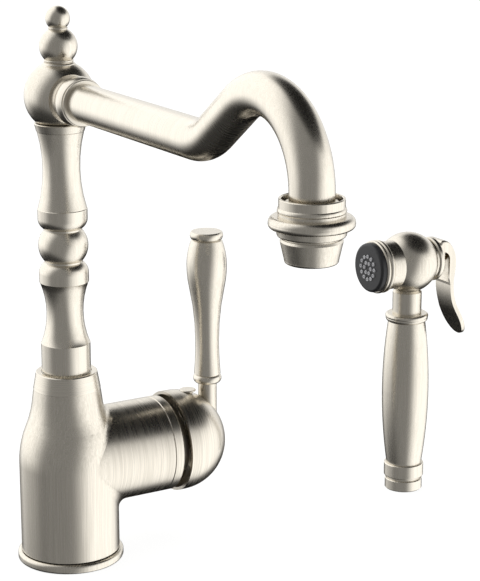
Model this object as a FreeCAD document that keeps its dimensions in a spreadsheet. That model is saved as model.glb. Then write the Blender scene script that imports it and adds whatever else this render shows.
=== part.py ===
import FreeCAD, Part
import os
import re
import Sketcher

# Side spray kitchen faucet: a turned column on a bulbous body, a swivel spout,
# a single lever on a side branch, and a separate hand spray beside it.
# Millimetres.  Origin: centre of the base on the deck, +Z up, spout towards -Y,
# lever branch and hand spray towards +X.

V = FreeCAD.Vector
OUT = V(1, 0, 0)
IN = V(-1, 0, 0)
QUARTER_TURN = 90
FULL_TURN = 360

# Driving sizes.  A "rise", "length" or "gap" starts where the piece below it ends,
# a "step" or "wall" starts at the radius that it stands on.
SIZES = {
    # body casting and its base
    "body_radius": 25.9, "foot_inset": 1.5, "base_ring_overhang": 2.0, "base_ring_height": 4.8,
    "base_ring_rounding": 1.8, "base_gap": 0.5, "gasket_width": 2.2, "gasket_depth": 1.0,
    "branch_height": 53.3, "shoulder_rise": 19.7, "cone_rise": 15.5, "rim_rise": 14.2,
    "glide_wall": 1.2, "rim_wall": 2.7, "rim_taper": 1.85, "cone_taper": 4.2, "cone_sag": 0.45,
    "rim_step": 0.3, "rim_chamfer": 0.4, "branch_inset": 0.3, "branch_length": 50.3,
    "branch_fillet": 5.0, "cut_over": 1.0, "edge_break": 0.4,
    # cartridge and its chamber, along the branch
    "branch_wall": 6.6, "nut_shelf": 1.4, "chamber_depth": 32.3, "nut_seat": 6.3,
    "seal_thickness": 2.0, "seal_radius": 3.6, "seal_hole_radius": 2.0, "port_inset": 5.1,
    "port_drop": 6.0, "port_radius": 2.8, "housing_play": 0.1, "housing_wall": 2.9,
    "housing_floor": 5.0, "fixed_disc_thickness": 4.5, "disc_gap": 0.05,
    "moving_disc_inset": 5.3, "moving_disc_thickness": 4.4, "disc_boss_radius": 5.6,
    "boss_lip": 0.6, "carrier_play": 0.06, "carrier_lip": 3.6, "carrier_recess": 1.0,
    "carrier_pocket_width": 12.0, "carrier_pocket_height": 22.0, "pocket_play": 0.6,
    "slot_play": 0.35, "slot_height": 16.6, "pivot_depth": 2.0, "pivot_pin_radius": 1.5,
    "pivot_pin_length": 20.0, "pivot_play": 0.05, "spindle_radius": 4.0,
    "spindle_neck_radius": 2.4, "spindle_neck_length": 3.0, "spindle_taper": 1.0,
    "spindle_in_cap": 3.0, "drive_depth": 4.05, "drive_ball_radius": 3.0, "drive_play": 0.08,
    "nut_face": 2.2, "nut_skirt_step": 3.0, "nut_skirt_wall": 2.0, "nut_skirt_length": 10.7,
    "nut_chamfer": 1.0, "notch_depth": 2.5, "notch_width": 4.0, "notch_count": 6,
    # bonnet ring and dome
    "bonnet_gap": 0.6, "bonnet_length": 5.9, "bonnet_step": 0.8, "bonnet_rounding": 1.2,
    "dome_reveal": 3.26, "dome_slant": 0.53, "dome_overhang": 1.55, "dome_wall": 1.6,
    "dome_run": 13.4, "crown_thickness": 13.85, "dome_boss_radius": 8.0,
    "dome_boss_length": 11.0,
    # lever
    "lever_setback": 6.75, "lever_stem_radius": 5.1, "lever_stem_gap": 3.0, "ferrule_lift": 2.45,
    "ferrule_height": 5.0, "ferrule_radius": 7.5, "ferrule_end_radius": 6.3, "stud_radius": 3.0,
    "stud_length": 12.0, "grip_foot_radius": 7.2, "grip_neck_radius": 6.3, "grip_neck_rise": 19.5,
    "grip_belly_radius": 10.62, "grip_belly_rise": 38.5, "grip_shoulder_radius": 8.6,
    "grip_shoulder_rise": 13.4, "grip_top_radius": 6.6, "grip_top_rise": 2.2,
    "knob_radius": 8.5, "knob_height": 5.2, "knob_foot_radius": 6.2, "knob_edge": 1.4,
    "knob_band": 1.6, "knob_sag": 0.35,
    "button_run": 8.1, "button_radius": 4.4, "button_height": 0.9, "button_sink": 0.8,
    "button_play": 0.2, "button_stem_radius": 2.6, "button_stem_length": 2.4,
    "set_screw_radius": 2.0, "set_screw_length": 5.0,
    # column, turned
    "spigot_radius": 12.0, "running_play": 0.05, "column_wall": 2.7, "socket_depth": 26.7,
    "spigot_gap": 2.0, "glide_length": 8.0, "glide_drop": 0.6, "band_step": 0.75,
    "band_gap": 0.35, "band_length": 14.15, "flare_step": 0.25, "waist_sag": 3.3,
    "lower_waist_length": 30.7, "bell_band": 6.4, "bell_rounding": 5.5, "groove_depth": 3.55,
    "groove_land": 0.8, "bead_height": 16.1, "bead_sag": 3.62, "upper_rounding": 5.3,
    "upper_band": 4.0, "upper_waist_length": 40.5, "collar_step": 0.05, "collar_height": 5.1,
    "collar_taper": 1.4, "screw_drop": 11.7, "screw_radius": 2.5, "screw_tip_play": 0.35,
    "screw_tip_taper": 1.2, "retaining_depth": 1.6, "retaining_width": 6.0,
    "screw_recess": 0.8, "screw_key_radius": 1.25, "screw_key_depth": 2.3,
    "ring_section": 1.2, "ring_rise": 3.0, "ring_pitch": 4.4,
    # hub ball and finial
    "hub_radius": 17.9, "hub_foot_inset": 0.37, "finial_pinch": 2.5, "finial_foot_step": 1.2,
    "finial_foot_rise": 2.48, "finial_foot_sag": 0.35, "mid_ball_radius": 9.6,
    "finial_neck_inset": 1.25, "finial_groove": 0.3, "finial_ridge": 1.0, "ridge_sag": 0.45,
    "small_ball_radius": 6.15, "small_neck_inset": 1.75, "small_neck_rise": 0.45,
    "small_neck_sag": 0.15,
    # spout tube and its socket
    "tube_radius": 9.5, "tube_wall": 1.2, "tube_entry": 1.4, "tube_straight": 138.8,
    "rise_radius": 29.3, "rise_angle": 35.85, "climb_length": 27.4, "crest_radius": 35.2,
    "drop_length": 10.57, "socket_step": 2.7, "socket_step_length": 4.3, "socket_groove": 1.2,
    "socket_groove_step": 1.5, "socket_band_step": 3.4, "socket_band_sag": 0.9,
    "socket_band_length": 8.4, "socket_lip_gap": 1.0, "socket_lip_length": 1.6,
    "socket_lip_step": 2.1,
    # aerator, heights from the end of the tube
    "aerator_rim_step": 4.15, "aerator_wall": 1.2, "collar_overlap": 3.4,
    "aerator_rim_height": 5.0, "aerator_bead_sag": 0.4, "aerator_neck_step": 4.4,
    "bead_rise": 0.8, "bead_fall": 0.6, "flange_rise": 1.3, "flange_height": 5.1,
    "flange_step": 8.3, "flange_face_step": 5.9, "foot_step": 4.8, "foot_fall": 2.2,
    "foot_height": 1.1, "thread_step": 2.5, "washer_thickness": 2.0, "tip_reveal": 0.9,
    "tip_length": 10.3, "tip_top_step": 3.5, "tip_bottom_step": 1.7, "tip_edge": 1.3,
    "tip_lead": 1.0, "mouth_inset": 0.3, "insert_recess": 0.9, "screen_thickness": 1.0,
    "insert_floor": 3.0, "insert_wall": 1.5, "insert_hole_radius": 1.0,
    "insert_hole_ring": 5.5, "insert_hole_count": 8, "end_ring_step": 1.7,
    "end_ring_height": 3.9, "end_ring_rounding": 0.8,
    # diverter in the bottom of the column socket
    "diverter_inset": 4.0, "diverter_depth": 26.0, "sleeve_wall": 2.6, "sleeve_drop": 2.0,
    "sleeve_length": 12.0, "plunger_drop": 3.0, "plunger_skirt_inset": 1.8,
    "plunger_skirt_length": 2.0, "plunger_lead": 1.0, "plunger_chamfer": 0.6,
    "spring_wire": 0.8, "spring_pitch": 3.4, "spring_play": 0.05,
    # underside connections
    "inlet_x": 10.0, "inlet_radius": 4.5, "inlet_depth": 14.0, "spray_outlet_x": -9.0,
    "spray_passage_radius": 3.0, "passage_overlap": 2.0, "stud_x": -8.0, "stud_y": -14.0,
    "stud_hole_radius": 3.4, "stud_hole_depth": 14.0, "mix_passage_radius": 3.2,
    "mix_passage_rise": 6.0,
    # hand spray, heights chained up from the hose nut
    "spray_x": 211.2, "spray_y": -6.7, "hose_nut_radius": 10.75, "hose_nut_height": 6.2,
    "hose_thread_radius": 6.3, "hose_nut_bevel": 0.5, "slot_depth": 1.5, "slot_radius": 9.8,
    "end_collar_radius": 11.4, "end_collar_height": 8.0, "end_collar_edge": 0.7,
    "grip_bottom_radius": 10.2, "grip_land": 0.8, "grip_rise": 44.3, "grip_max_radius": 13.35,
    "grip_fall": 40.6, "grip_end_radius": 10.55, "grip_bore_radius": 7.5,
    "spray_ring_radius": 11.95, "spray_ring_height": 4.7, "spray_ring_foot": 1.9,
    "spray_ring_shoulder": 1.2, "spray_neck_radius": 8.25, "spray_neck_length": 13.7,
    "neck_bevel": 1.2, "neck_counterbore": 3.0, "water_tube_radius": 5.0,
    "water_tube_wall": 1.2, "ball_radius": 17.2, "ball_flat_depth": 1.4,
    "barrel_radius": 13.6, "barrel_length": 1.0, "back_boss_radius": 11.6,
    "back_boss_length": 1.3, "back_ring_step": 0.9, "back_ring_length": 3.2,
    "back_ring_rounding": 1.2, "back_ring_break": 0.6, "lug_play": 0.3, "lug_length": 4.0,
    "lug_drop": 7.0, "lug_ear_radius": 2.5, "face_ring_step": 1.4, "face_bead": 0.75,
    "face_bead_length": 3.0, "face_ring_lip": 2.4, "face_socket_wall": 1.0, "face_step": 0.3,
    "face_length": 3.7, "face_edge": 1.6, "nozzle_radius": 0.85, "nozzle_height": 0.7,
    "nozzle_outer_radius": 6.7, "nozzle_inner_radius": 3.5, "nozzle_outer_count": 12,
    "nozzle_inner_count": 6, "valve_chamber_radius": 8.0, "valve_seat": 1.0,
    "valve_throat_radius": 3.6, "valve_throat_length": 7.0, "feed_radius": 4.0,
    "valve_stem_radius": 2.0, "valve_head_radius": 5.6, "valve_washer": 1.5,
    "valve_washer_gap": 0.02, "valve_head_thickness": 2.0, "stem_point": 0.8,
    "plate_thickness": 1.6, "plate_hole_radius": 1.3, "plate_hole_ring": 5.2,
    "plate_hole_count": 8, "hinge_run": 2.6, "hinge_up": 7.0, "hinge_pin_radius": 1.2,
    "pin_inset": 0.2,
    # trigger, run out from the hinge and dropped from the ball's centre
    "trigger_width": 14.2, "trigger_skin": 1.9, "hood_skin": 1.4, "cheek": 1.4,
    "hood_radius": 4.2, "shoulder_up": 1.3, "shoulder_run": 5.7, "swell_drop": 2.5,
    "swell_run": 9.6, "waist_drop": 15.5, "waist_in": 1.3, "sweep_drop": 32.0,
    "sweep_out": 4.2, "trigger_tip_drop": 45.6, "trigger_tip_out": 6.7, "blade_thickness": 3.0,
    "cheek_front": 3.8, "cheek_drop": 11.5, "cheek_ear": 2.6, "cheek_back_gap": 0.45,
    "hollow_drop": 14.0, "trigger_edge": 1.4, "blade_width": 16.5, "flare_drop": 24.0,
    "widest_drop": 36.5, "tongue_side": 3.7, "tongue_shoulder": 1.95, "stem_gap": 0.6,
}

# Stations and radii that follow from the driving sizes.
DERIVED = {
    "foot_radius": "body_radius - foot_inset",
    "base_ring_radius": "body_radius + base_ring_overhang",
    "shoulder_height": "branch_height + shoulder_rise",
    "cone_height": "shoulder_height + cone_rise",
    "rim_height": "cone_height + rim_rise",
    "glide_radius": "spigot_radius + glide_wall",
    "rim_radius": "glide_radius + rim_wall",
    "cone_radius": "rim_radius + rim_taper",
    "shoulder_radius": "cone_radius + cone_taper",
    "branch_radius": "body_radius - branch_inset",
    "nut_radius": "branch_radius - branch_wall",
    "chamber_radius": "nut_radius - nut_shelf",
    "chamber_start": "branch_length - chamber_depth",
    "housing_start": "chamber_start + seal_thickness",
    "housing_end": "branch_length - nut_seat",
    "housing_radius": "chamber_radius - housing_play",
    "cavity_radius": "housing_radius - housing_wall",
    "cavity_start": "housing_start + housing_floor",
    "port_offset": "cavity_radius - port_inset",
    "fixed_disc_end": "cavity_start + fixed_disc_thickness",
    "moving_disc_start": "fixed_disc_end + disc_gap",
    "moving_disc_end": "moving_disc_start + moving_disc_thickness",
    "moving_disc_radius": "cavity_radius - moving_disc_inset",
    "cup_radius": "drive_ball_radius + drive_play",
    "drive_ball_along": "moving_disc_end + drive_depth",
    "boss_end": "drive_ball_along + boss_lip",
    "carrier_start": "moving_disc_end + disc_gap * 2",
    "nut_hole_radius": "cavity_radius - carrier_lip",
    "nut_end": "branch_length + nut_face",
    "nut_skirt_radius": "nut_radius + nut_skirt_step",
    "nut_skirt_end": "branch_length + nut_skirt_length",
    "carrier_end": "nut_end - carrier_recess",
    "nose_radius": "nut_hole_radius - carrier_play",
    "pivot_along": "housing_end + pivot_depth",
    "neck_end": "drive_ball_along + spindle_neck_length",
    "bonnet_start": "branch_length + bonnet_gap",
    "bonnet_end": "branch_length + bonnet_length",
    "dome_radius": "branch_radius + dome_overhang",
    "dome_inner": "dome_radius - dome_wall",
    "dome_centre": "branch_length + dome_run",
    "dome_floor": "dome_centre + dome_radius - crown_thickness",
    "dome_floor_radius": "sqrt(dome_inner^2 - (dome_floor - dome_centre)^2)",
    "dome_boss_start": "dome_floor - dome_boss_length",
    "dome_rim_top": "bonnet_end + dome_reveal",
    "dome_rim_bottom": "dome_rim_top + dome_slant",
    "spindle_end": "dome_floor + spindle_in_cap",
    "button_along": "dome_centre + button_run",
    "button_base": "branch_height + dome_radius - button_sink",
    "lever_along": "dome_centre + dome_radius - lever_setback",
    "lever_stem_bottom": "branch_height + spindle_radius + lever_stem_gap",
    "ferrule_bottom": "branch_height + dome_radius + ferrule_lift",
    "ferrule_top": "ferrule_bottom + ferrule_height",
    "grip_neck": "ferrule_top + grip_neck_rise",
    "grip_belly": "grip_neck + grip_belly_rise",
    "grip_shoulder": "grip_belly + grip_shoulder_rise",
    "grip_top": "grip_shoulder + grip_top_rise",
    "knob_top": "grip_top + knob_height",
    "bore_radius": "groove_radius - column_wall",
    "body_bore_radius": "spigot_radius + running_play",
    "socket_bottom": "rim_height - socket_depth",
    "spigot_bottom": "socket_bottom + spigot_gap",
    "glide_top": "rim_height - glide_drop",
    "glide_bottom": "glide_top - glide_length",
    "band_radius": "spigot_radius + band_step",
    "band_bottom": "rim_height + band_gap",
    "flare_height": "band_bottom + band_length",
    "lower_waist_top": "flare_height + lower_waist_length",
    "lower_bell_height": "lower_waist_top + bell_band",
    "lower_groove_height": "lower_bell_height + bell_rounding + groove_land",
    "groove_radius": "band_radius - groove_depth",
    "upper_groove_height": "lower_groove_height + bead_height",
    "upper_bell_bottom": "upper_groove_height + groove_land + upper_rounding",
    "upper_bell_height": "upper_bell_bottom + upper_band",
    "collar_bottom": "upper_bell_height + upper_waist_length",
    "collar_radius": "band_radius + collar_step",
    "collar_neck_radius": "collar_radius - collar_taper",
    "collar_top": "collar_bottom + collar_height",
    "screw_height": "rim_height - screw_drop",
    "ring_low": "spigot_bottom + ring_rise",
    "hub_foot_radius": "collar_neck_radius - hub_foot_inset",
    "spout_height": "collar_top + sqrt(hub_radius^2 - hub_foot_radius^2)",
    "hub_side_flat": "sqrt(hub_radius^2 - socket_step_radius^2)",
    "finial_waist_radius": "mid_ball_radius - finial_pinch",
    "finial_foot_radius": "finial_waist_radius + finial_foot_step",
    "finial_base": "spout_height + sqrt(hub_radius^2 - finial_foot_radius^2)",
    "finial_waist": "finial_base + finial_foot_rise",
    "mid_ball_height": "finial_waist + sqrt(mid_ball_radius^2 - finial_waist_radius^2)",
    "finial_neck_radius": "small_ball_radius - finial_neck_inset",
    "finial_neck": "mid_ball_height + sqrt(mid_ball_radius^2 - finial_neck_radius^2)",
    "ridge_bottom": "finial_neck + finial_groove",
    "ridge_top": "ridge_bottom + finial_ridge",
    "small_neck_radius": "small_ball_radius - small_neck_inset",
    "small_neck": "ridge_top + small_neck_rise",
    "small_ball_height": "small_neck + sqrt(small_ball_radius^2 - small_neck_radius^2)",
    "tube_bore": "tube_radius - tube_wall",
    "socket_step_radius": "tube_radius + socket_step",
    "socket_step_end": "hub_side_flat + socket_step_length",
    "socket_groove_radius": "tube_radius + socket_groove_step",
    "socket_band_start": "socket_step_end + socket_groove",
    "socket_band_end": "socket_band_start + socket_band_length",
    "socket_band_radius": "tube_radius + socket_band_step - socket_band_sag",
    "socket_lip_start": "socket_band_end + socket_lip_gap + edge_break",
    "socket_lip_end": "socket_lip_start + socket_lip_length",
    "socket_lip_radius": "tube_radius + socket_lip_step",
    "tube_start": "socket_band_start + tube_entry",
    "slope_sin": "sin(rise_angle * 1deg)",
    "slope_cos": "cos(rise_angle * 1deg)",
    "rise_end": "tube_straight + rise_radius * slope_sin",
    "rise_height": "spout_height + rise_radius * (1 - slope_cos)",
    "climb_end": "rise_end + climb_length * slope_cos",
    "climb_height": "rise_height + climb_length * slope_sin",
    "tube_reach": "climb_end + crest_radius * (1 + slope_sin)",
    "leg_height": "climb_height - crest_radius * slope_cos",
    "crest_sag": "crest_radius * (1 - sqrt((1 - slope_sin) / 2))",
    "tube_end": "leg_height - drop_length",
    "aerator_floor": "tube_end + collar_overlap",
    "aerator_rim": "aerator_floor + aerator_rim_height",
    "aerator_rim_radius": "tube_radius + aerator_rim_step",
    "aerator_neck_radius": "tube_radius + aerator_neck_step",
    "flange_top": "tube_end + flange_rise",
    "flange_bottom": "flange_top - flange_height",
    "flange_radius": "tube_radius + flange_step",
    "flange_face_radius": "tube_radius + flange_face_step",
    "foot_shoulder": "flange_bottom - foot_fall",
    "aerator_foot": "foot_shoulder - foot_height",
    "aerator_foot_radius": "tube_radius + foot_step",
    "thread_radius": "tube_radius + thread_step",
    "washer_top": "tube_end - washer_thickness",
    "washer_bottom": "washer_top - washer_thickness",
    "tip_top": "aerator_foot - tip_reveal",
    "tip_bottom": "tip_top - tip_length",
    "tip_top_radius": "tube_radius + tip_top_step",
    "tip_bottom_radius": "tube_radius + tip_bottom_step",
    "tip_mouth_radius": "tube_radius - mouth_inset",
    "screen_bottom": "tip_bottom + insert_recess",
    "insert_bottom": "screen_bottom + screen_thickness",
    "end_ring_radius": "tube_radius + end_ring_step",
    "end_ring_top": "aerator_floor + end_ring_height",
    "diverter_radius": "spigot_radius - diverter_inset",
    "diverter_floor": "socket_bottom - diverter_depth",
    "sleeve_bore": "diverter_radius - sleeve_wall",
    "sleeve_top": "socket_bottom - sleeve_drop",
    "sleeve_bottom": "sleeve_top - sleeve_length",
    "plunger_radius": "sleeve_bore - running_play",
    "plunger_top": "sleeve_top - plunger_drop",
    "plunger_skirt": "sleeve_bore - plunger_skirt_inset",
    "plunger_bottom": "sleeve_bottom - plunger_skirt_length",
    "mix_passage_height": "diverter_floor + mix_passage_rise",
    "end_collar_bottom": "hose_nut_height + slot_depth",
    "end_collar_top": "end_collar_bottom + end_collar_height",
    "grip_middle": "end_collar_top + grip_rise",
    "spray_grip_top": "grip_middle + grip_fall",
    "spray_ring_top": "spray_grip_top + spray_ring_height",
    "neck_top": "spray_ring_top + spray_neck_length",
    "neck_seat": "neck_top - neck_counterbore",
    "water_tube_bore": "water_tube_radius - water_tube_wall",
    "ball_flat": "ball_radius - ball_flat_depth",
    "ball_height": "neck_top + ball_flat",
    "barrel_end": "ball_radius + barrel_length",
    "back_boss_start": "sqrt(ball_radius^2 - back_boss_radius^2)",
    "back_boss_end": "back_boss_start + back_boss_length",
    "back_ring_radius": "back_boss_radius + back_ring_step",
    "back_ring_end": "back_boss_end + back_ring_length",
    "lug_end": "back_ring_end + lug_length",
    "lug_width": "trigger_width - 2 * cheek - 2 * lug_play",
    "stem_hole_radius": "valve_stem_radius + running_play",
    "face_socket_radius": "barrel_radius - face_socket_wall",
    "face_ring_radius": "barrel_radius + face_ring_step - face_bead",
    "face_ring_middle": "barrel_end + face_bead_length",
    "face_ring_end": "face_ring_middle + face_ring_lip",
    "face_radius": "barrel_radius + face_step",
    "face_end": "face_ring_end + face_length",
    "plate_top": "barrel_end + plate_thickness",
    "valve_head_low": "valve_seat + valve_washer",
    "valve_head_top": "valve_head_low + valve_head_thickness",
    "hinge_along": "back_ring_end + hinge_run",
    "hood_top": "hinge_up + hood_radius",
    "shoulder_along": "hinge_along + shoulder_run",
    "swell_along": "hinge_along + swell_run",
    "waist_along": "swell_along - waist_in",
    "sweep_along": "waist_along + sweep_out",
    "blade_fall": "trigger_tip_drop - sweep_drop",
    "blade_length": "sqrt(blade_fall^2 + trigger_tip_out^2)",
    "skin_down": "blade_thickness * trigger_tip_out / blade_length",
    "skin_in": "blade_thickness * blade_fall / blade_length",
    "tongue_drop": "trigger_tip_drop + skin_down",
    "cheek_along": "waist_along - cheek_front",
    "cheek_back": "back_ring_end + cheek_back_gap",
    "stem_tip": "swell_along - trigger_skin - stem_gap",
}

doc = FreeCAD.newDocument("side_spray_faucet")
sheet = doc.addObject("Spreadsheet::Sheet", "Sizes")
pieces = []


def fill_sheet():
    """One row per driving size: its name in column A, its value in column B."""
    for row, (alias, size) in enumerate(SIZES.items(), 1):
        sheet.set("A%d" % row, alias)
        sheet.set("B%d" % row, str(size))
        sheet.setAlias("B%d" % row, alias)
    doc.recompute()


def bound(text):
    """An expression on the sheet, from one written with the bare names."""
    def replace(match):
        word = match.group(0)
        if word in DERIVED:
            return "(" + bound(DERIVED[word]) + ")"
        return "Sizes." + word if word in SIZES else word
    return re.sub(r"(?<![\w.])[A-Za-z_]\w*", replace, str(text))


def value(text):
    """The number that an expression has now."""
    return float(sheet.evalExpression(bound(text)))


def make_body(label, at=("0", "0", "0"), turn=None):
    """A PartDesign body of its own name; at and turn place its own frame."""
    body = doc.addObject("PartDesign::Body", label)
    body.Label = label
    if turn:
        body.Placement = FreeCAD.Placement(V(0, 0, 0), FreeCAD.Rotation(*turn))
    for axis, text in zip("xyz", at):
        if text != "0":
            body.setExpression("Placement.Base." + axis, bound(text))
    pieces.append(body)
    return body


def origin_part(body, role):
    """One of the body's own origin planes or axes."""
    return [o for o in body.Origin.OriginFeatures if o.Role == role][0]


def make_sketch(body, plane, offset="0"):
    sketch = body.newObject("Sketcher::SketchObject", body.Label + "_" + plane[:2].lower())
    sketch.AttachmentSupport = [(origin_part(body, plane), "")]
    sketch.MapMode = "FlatFace"
    if offset != "0":
        sketch.setExpression("AttachmentOffset.Base.z", bound(offset))
    return sketch


def pin_point(sketch, geometry, end, x, y):
    """Holds one end of a line or arc, or a centre, at two sheet expressions."""
    for kind, text, axis in (("DistanceX", x, -2), ("DistanceY", y, -1)):
        if text == "0":
            sketch.addConstraint(Sketcher.Constraint("PointOnObject", geometry, end, axis))
            continue
        made = Sketcher.Constraint(kind, -1, 1, geometry, end, value(text))
        index = sketch.addConstraint(made)
        sketch.setExpression("Constraints[%d]" % index, bound(text))


def arc_through(start, end, kind, x0, y0, x1, y1):
    """The middle point of an arc and the expression of its radius."""
    chord = "((%s)-(%s))^2+((%s)-(%s))^2" % (x1, x0, y1, y0)
    middle = (start + end) * 0.5
    if isinstance(kind, tuple):
        side, sag = kind
        across = V(start.y - end.y, end.x - start.x, 0).normalize()
        if across.dot(side) < 0:
            across = across * -1
        return middle + across * value(sag), "(%s)/(8*(%s))+(%s)/2" % (chord, sag, sag)
    step, rise = end.x - start.x, end.y - start.y
    if kind.endswith("axial"):
        radius = "(%s)/(2*abs((%s)-(%s)))" % (chord, x1, x0)
        reach = value(radius) * (1 if step > 0 else -1)
        centre = start + V(reach, 0, 0) if kind.startswith("from") else end - V(reach, 0, 0)
    else:
        radius = "(%s)/(2*abs((%s)-(%s)))" % (chord, y1, y0)
        reach = value(radius) * (1 if rise > 0 else -1)
        centre = start + V(0, reach, 0) if kind.startswith("from") else end - V(0, reach, 0)
    return centre + (middle - centre).normalize() * value(radius), radius


def draw(sketch, outline, closed=True):
    """Lines and arcs through the outline's vertices, every one bound to the sheet.

    A vertex is (x, y) or (x, y, kind), where kind shapes the stretch that ends
    there: "from_axial" and "to_axial" arcs leave or arrive along the sketch's y,
    "from_radial" and "to_radial" along its x, and (side, sag) bows by sag to a side.
    """
    drawn = []
    start_at = 0 if closed else 1
    for i in range(start_at, len(outline)):
        x0, y0 = [str(t) for t in outline[i - 1][:2]]
        x1, y1 = [str(t) for t in outline[i][:2]]
        start = V(value(x0), value(y0), 0)
        end = V(value(x1), value(y1), 0)
        if len(outline[i]) == 2:
            geometry = sketch.addGeometry(Part.LineSegment(start, end), False)
        else:
            middle, radius = arc_through(start, end, outline[i][2], x0, y0, x1, y1)
            geometry = sketch.addGeometry(Part.Arc(start, middle, end), False)
            index = sketch.addConstraint(Sketcher.Constraint("Radius", geometry, value(radius)))
            sketch.setExpression("Constraints[%d]" % index, bound(radius))
        first = 1 if sketch.getPoint(geometry, 1).distanceToPoint(start) < 1e-6 else 2
        drawn.append((geometry, first, 3 - first, x1, y1))
    for here, after in zip(drawn, drawn[1:] + drawn[:1]):
        if closed or here is not drawn[-1]:
            joint = Sketcher.Constraint("Coincident", here[0], here[2], after[0], after[1])
            sketch.addConstraint(joint)
        pin_point(sketch, here[0], here[2], here[3], here[4])
    if not closed:
        pin_point(sketch, drawn[0][0], drawn[0][1], str(outline[0][0]), str(outline[0][1]))
    return sketch


def draw_circle(sketch, radius, x="0", y="0"):
    centre = V(value(x), value(y), 0)
    geometry = sketch.addGeometry(Part.Circle(centre, V(0, 0, 1), value(radius)), False)
    index = sketch.addConstraint(Sketcher.Constraint("Radius", geometry, value(radius)))
    sketch.setExpression("Constraints[%d]" % index, bound(radius))
    pin_point(sketch, geometry, 3, x, y)
    return sketch


def draw_box(sketch, x0, y0, x1, y1):
    return draw(sketch, [(x0, y0), (x1, y0), (x1, y1), (x0, y1)])


def turn_about_axis(body, sketch, cut=False):
    """A revolution or groove of the sketch about the body's own Z axis."""
    kind = "PartDesign::Groove" if cut else "PartDesign::Revolution"
    feature = body.newObject(kind, body.Label + ("_groove" if cut else "_turned"))
    feature.Profile = (sketch, [""])
    feature.ReferenceAxis = (sketch, ["V_Axis"])
    feature.Angle = FULL_TURN
    return feature


def revolve(body, outline, cut=False):
    """Turns an outline of (radius, height) about the body's own Z axis."""
    return turn_about_axis(body, draw(make_sketch(body, "XZ_Plane"), outline), cut)


def turned(label, outline, at=("0", "0", "0"), turn=None):
    body = make_body(label, at, turn)
    revolve(body, outline)
    return body


def extrude(body, sketch, length, cut=False, midplane=False, reverse=False):
    """Pads or pockets a sketch by a sheet expression."""
    kind = "PartDesign::Pocket" if cut else "PartDesign::Pad"
    feature = body.newObject(kind, body.Label + ("_pocket" if cut else "_pad"))
    feature.Profile = (sketch, [""])
    feature.setExpression("Length", bound(length))
    feature.Midplane = midplane
    feature.Reversed = reverse
    return feature


def drill(body, plane, radius, x, y, length, offset="0", reverse=False):
    """A round hole from an origin plane of the body, or from beside it."""
    sketch = draw_circle(make_sketch(body, plane, offset), radius, x, y)
    return extrude(body, sketch, length, cut=True, reverse=reverse)


def fillet(body, base, edges, radius):
    rounding = body.newObject("PartDesign::Fillet", body.Label + "_fillet")
    rounding.Base = (base, edges)
    rounding.setExpression("Radius", bound(radius))
    return rounding


def ring_of(body, feature, count):
    """Repeats a feature about the body's own Z axis."""
    pattern = body.newObject("PartDesign::PolarPattern", body.Label + "_ring")
    pattern.Originals = [feature]
    pattern.Axis = (origin_part(body, "Z_Axis"), [""])
    pattern.Angle = FULL_TURN
    pattern.setExpression("Occurrences", bound(count))
    body.Tip = pattern
    return pattern


def coil(label, radius, bottom, top, at=("0", "0", "0"), turn=None):
    """A compression spring: the round wire swept along a helix, ends included."""
    body = make_body(label, at, turn)
    section = draw_circle(make_sketch(body, "XZ_Plane"), "spring_wire", radius,
                          bottom + " + spring_wire")
    helix = body.newObject("PartDesign::AdditiveHelix", label + "_helix")
    helix.Profile = (section, [""])
    helix.ReferenceAxis = (section, ["V_Axis"])
    helix.Mode = 0
    helix.setExpression("Pitch", bound("spring_pitch"))
    helix.setExpression("Height", bound("%s - (%s) - 2 * spring_wire" % (top, bottom)))
    return body


ALONG_X = (V(0, 1, 0), QUARTER_TURN)
ALONG_MINUS_X = (V(0, 1, 0), -QUARTER_TURN)
ALONG_MINUS_Y = (V(1, 0, 0), QUARTER_TURN)
ALONG_Y = (V(1, 0, 0), -QUARTER_TURN)
ON_BRANCH = ("0", "0", "branch_height")
ON_LEVER = ("lever_along", "0", "0")
ON_BUTTON = ("button_along", "0", "0")
ON_SCREW = ("0", "0", "screw_height")
ON_HUB = ("0", "0", "spout_height")
ON_OUTLET = ("0", "-tube_reach", "0")
ON_SPRAY = ("spray_x", "spray_y", "0")
ON_BALL = ("spray_x", "spray_y", "ball_height")


# ---- body ------------------------------------------------------------------

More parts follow.
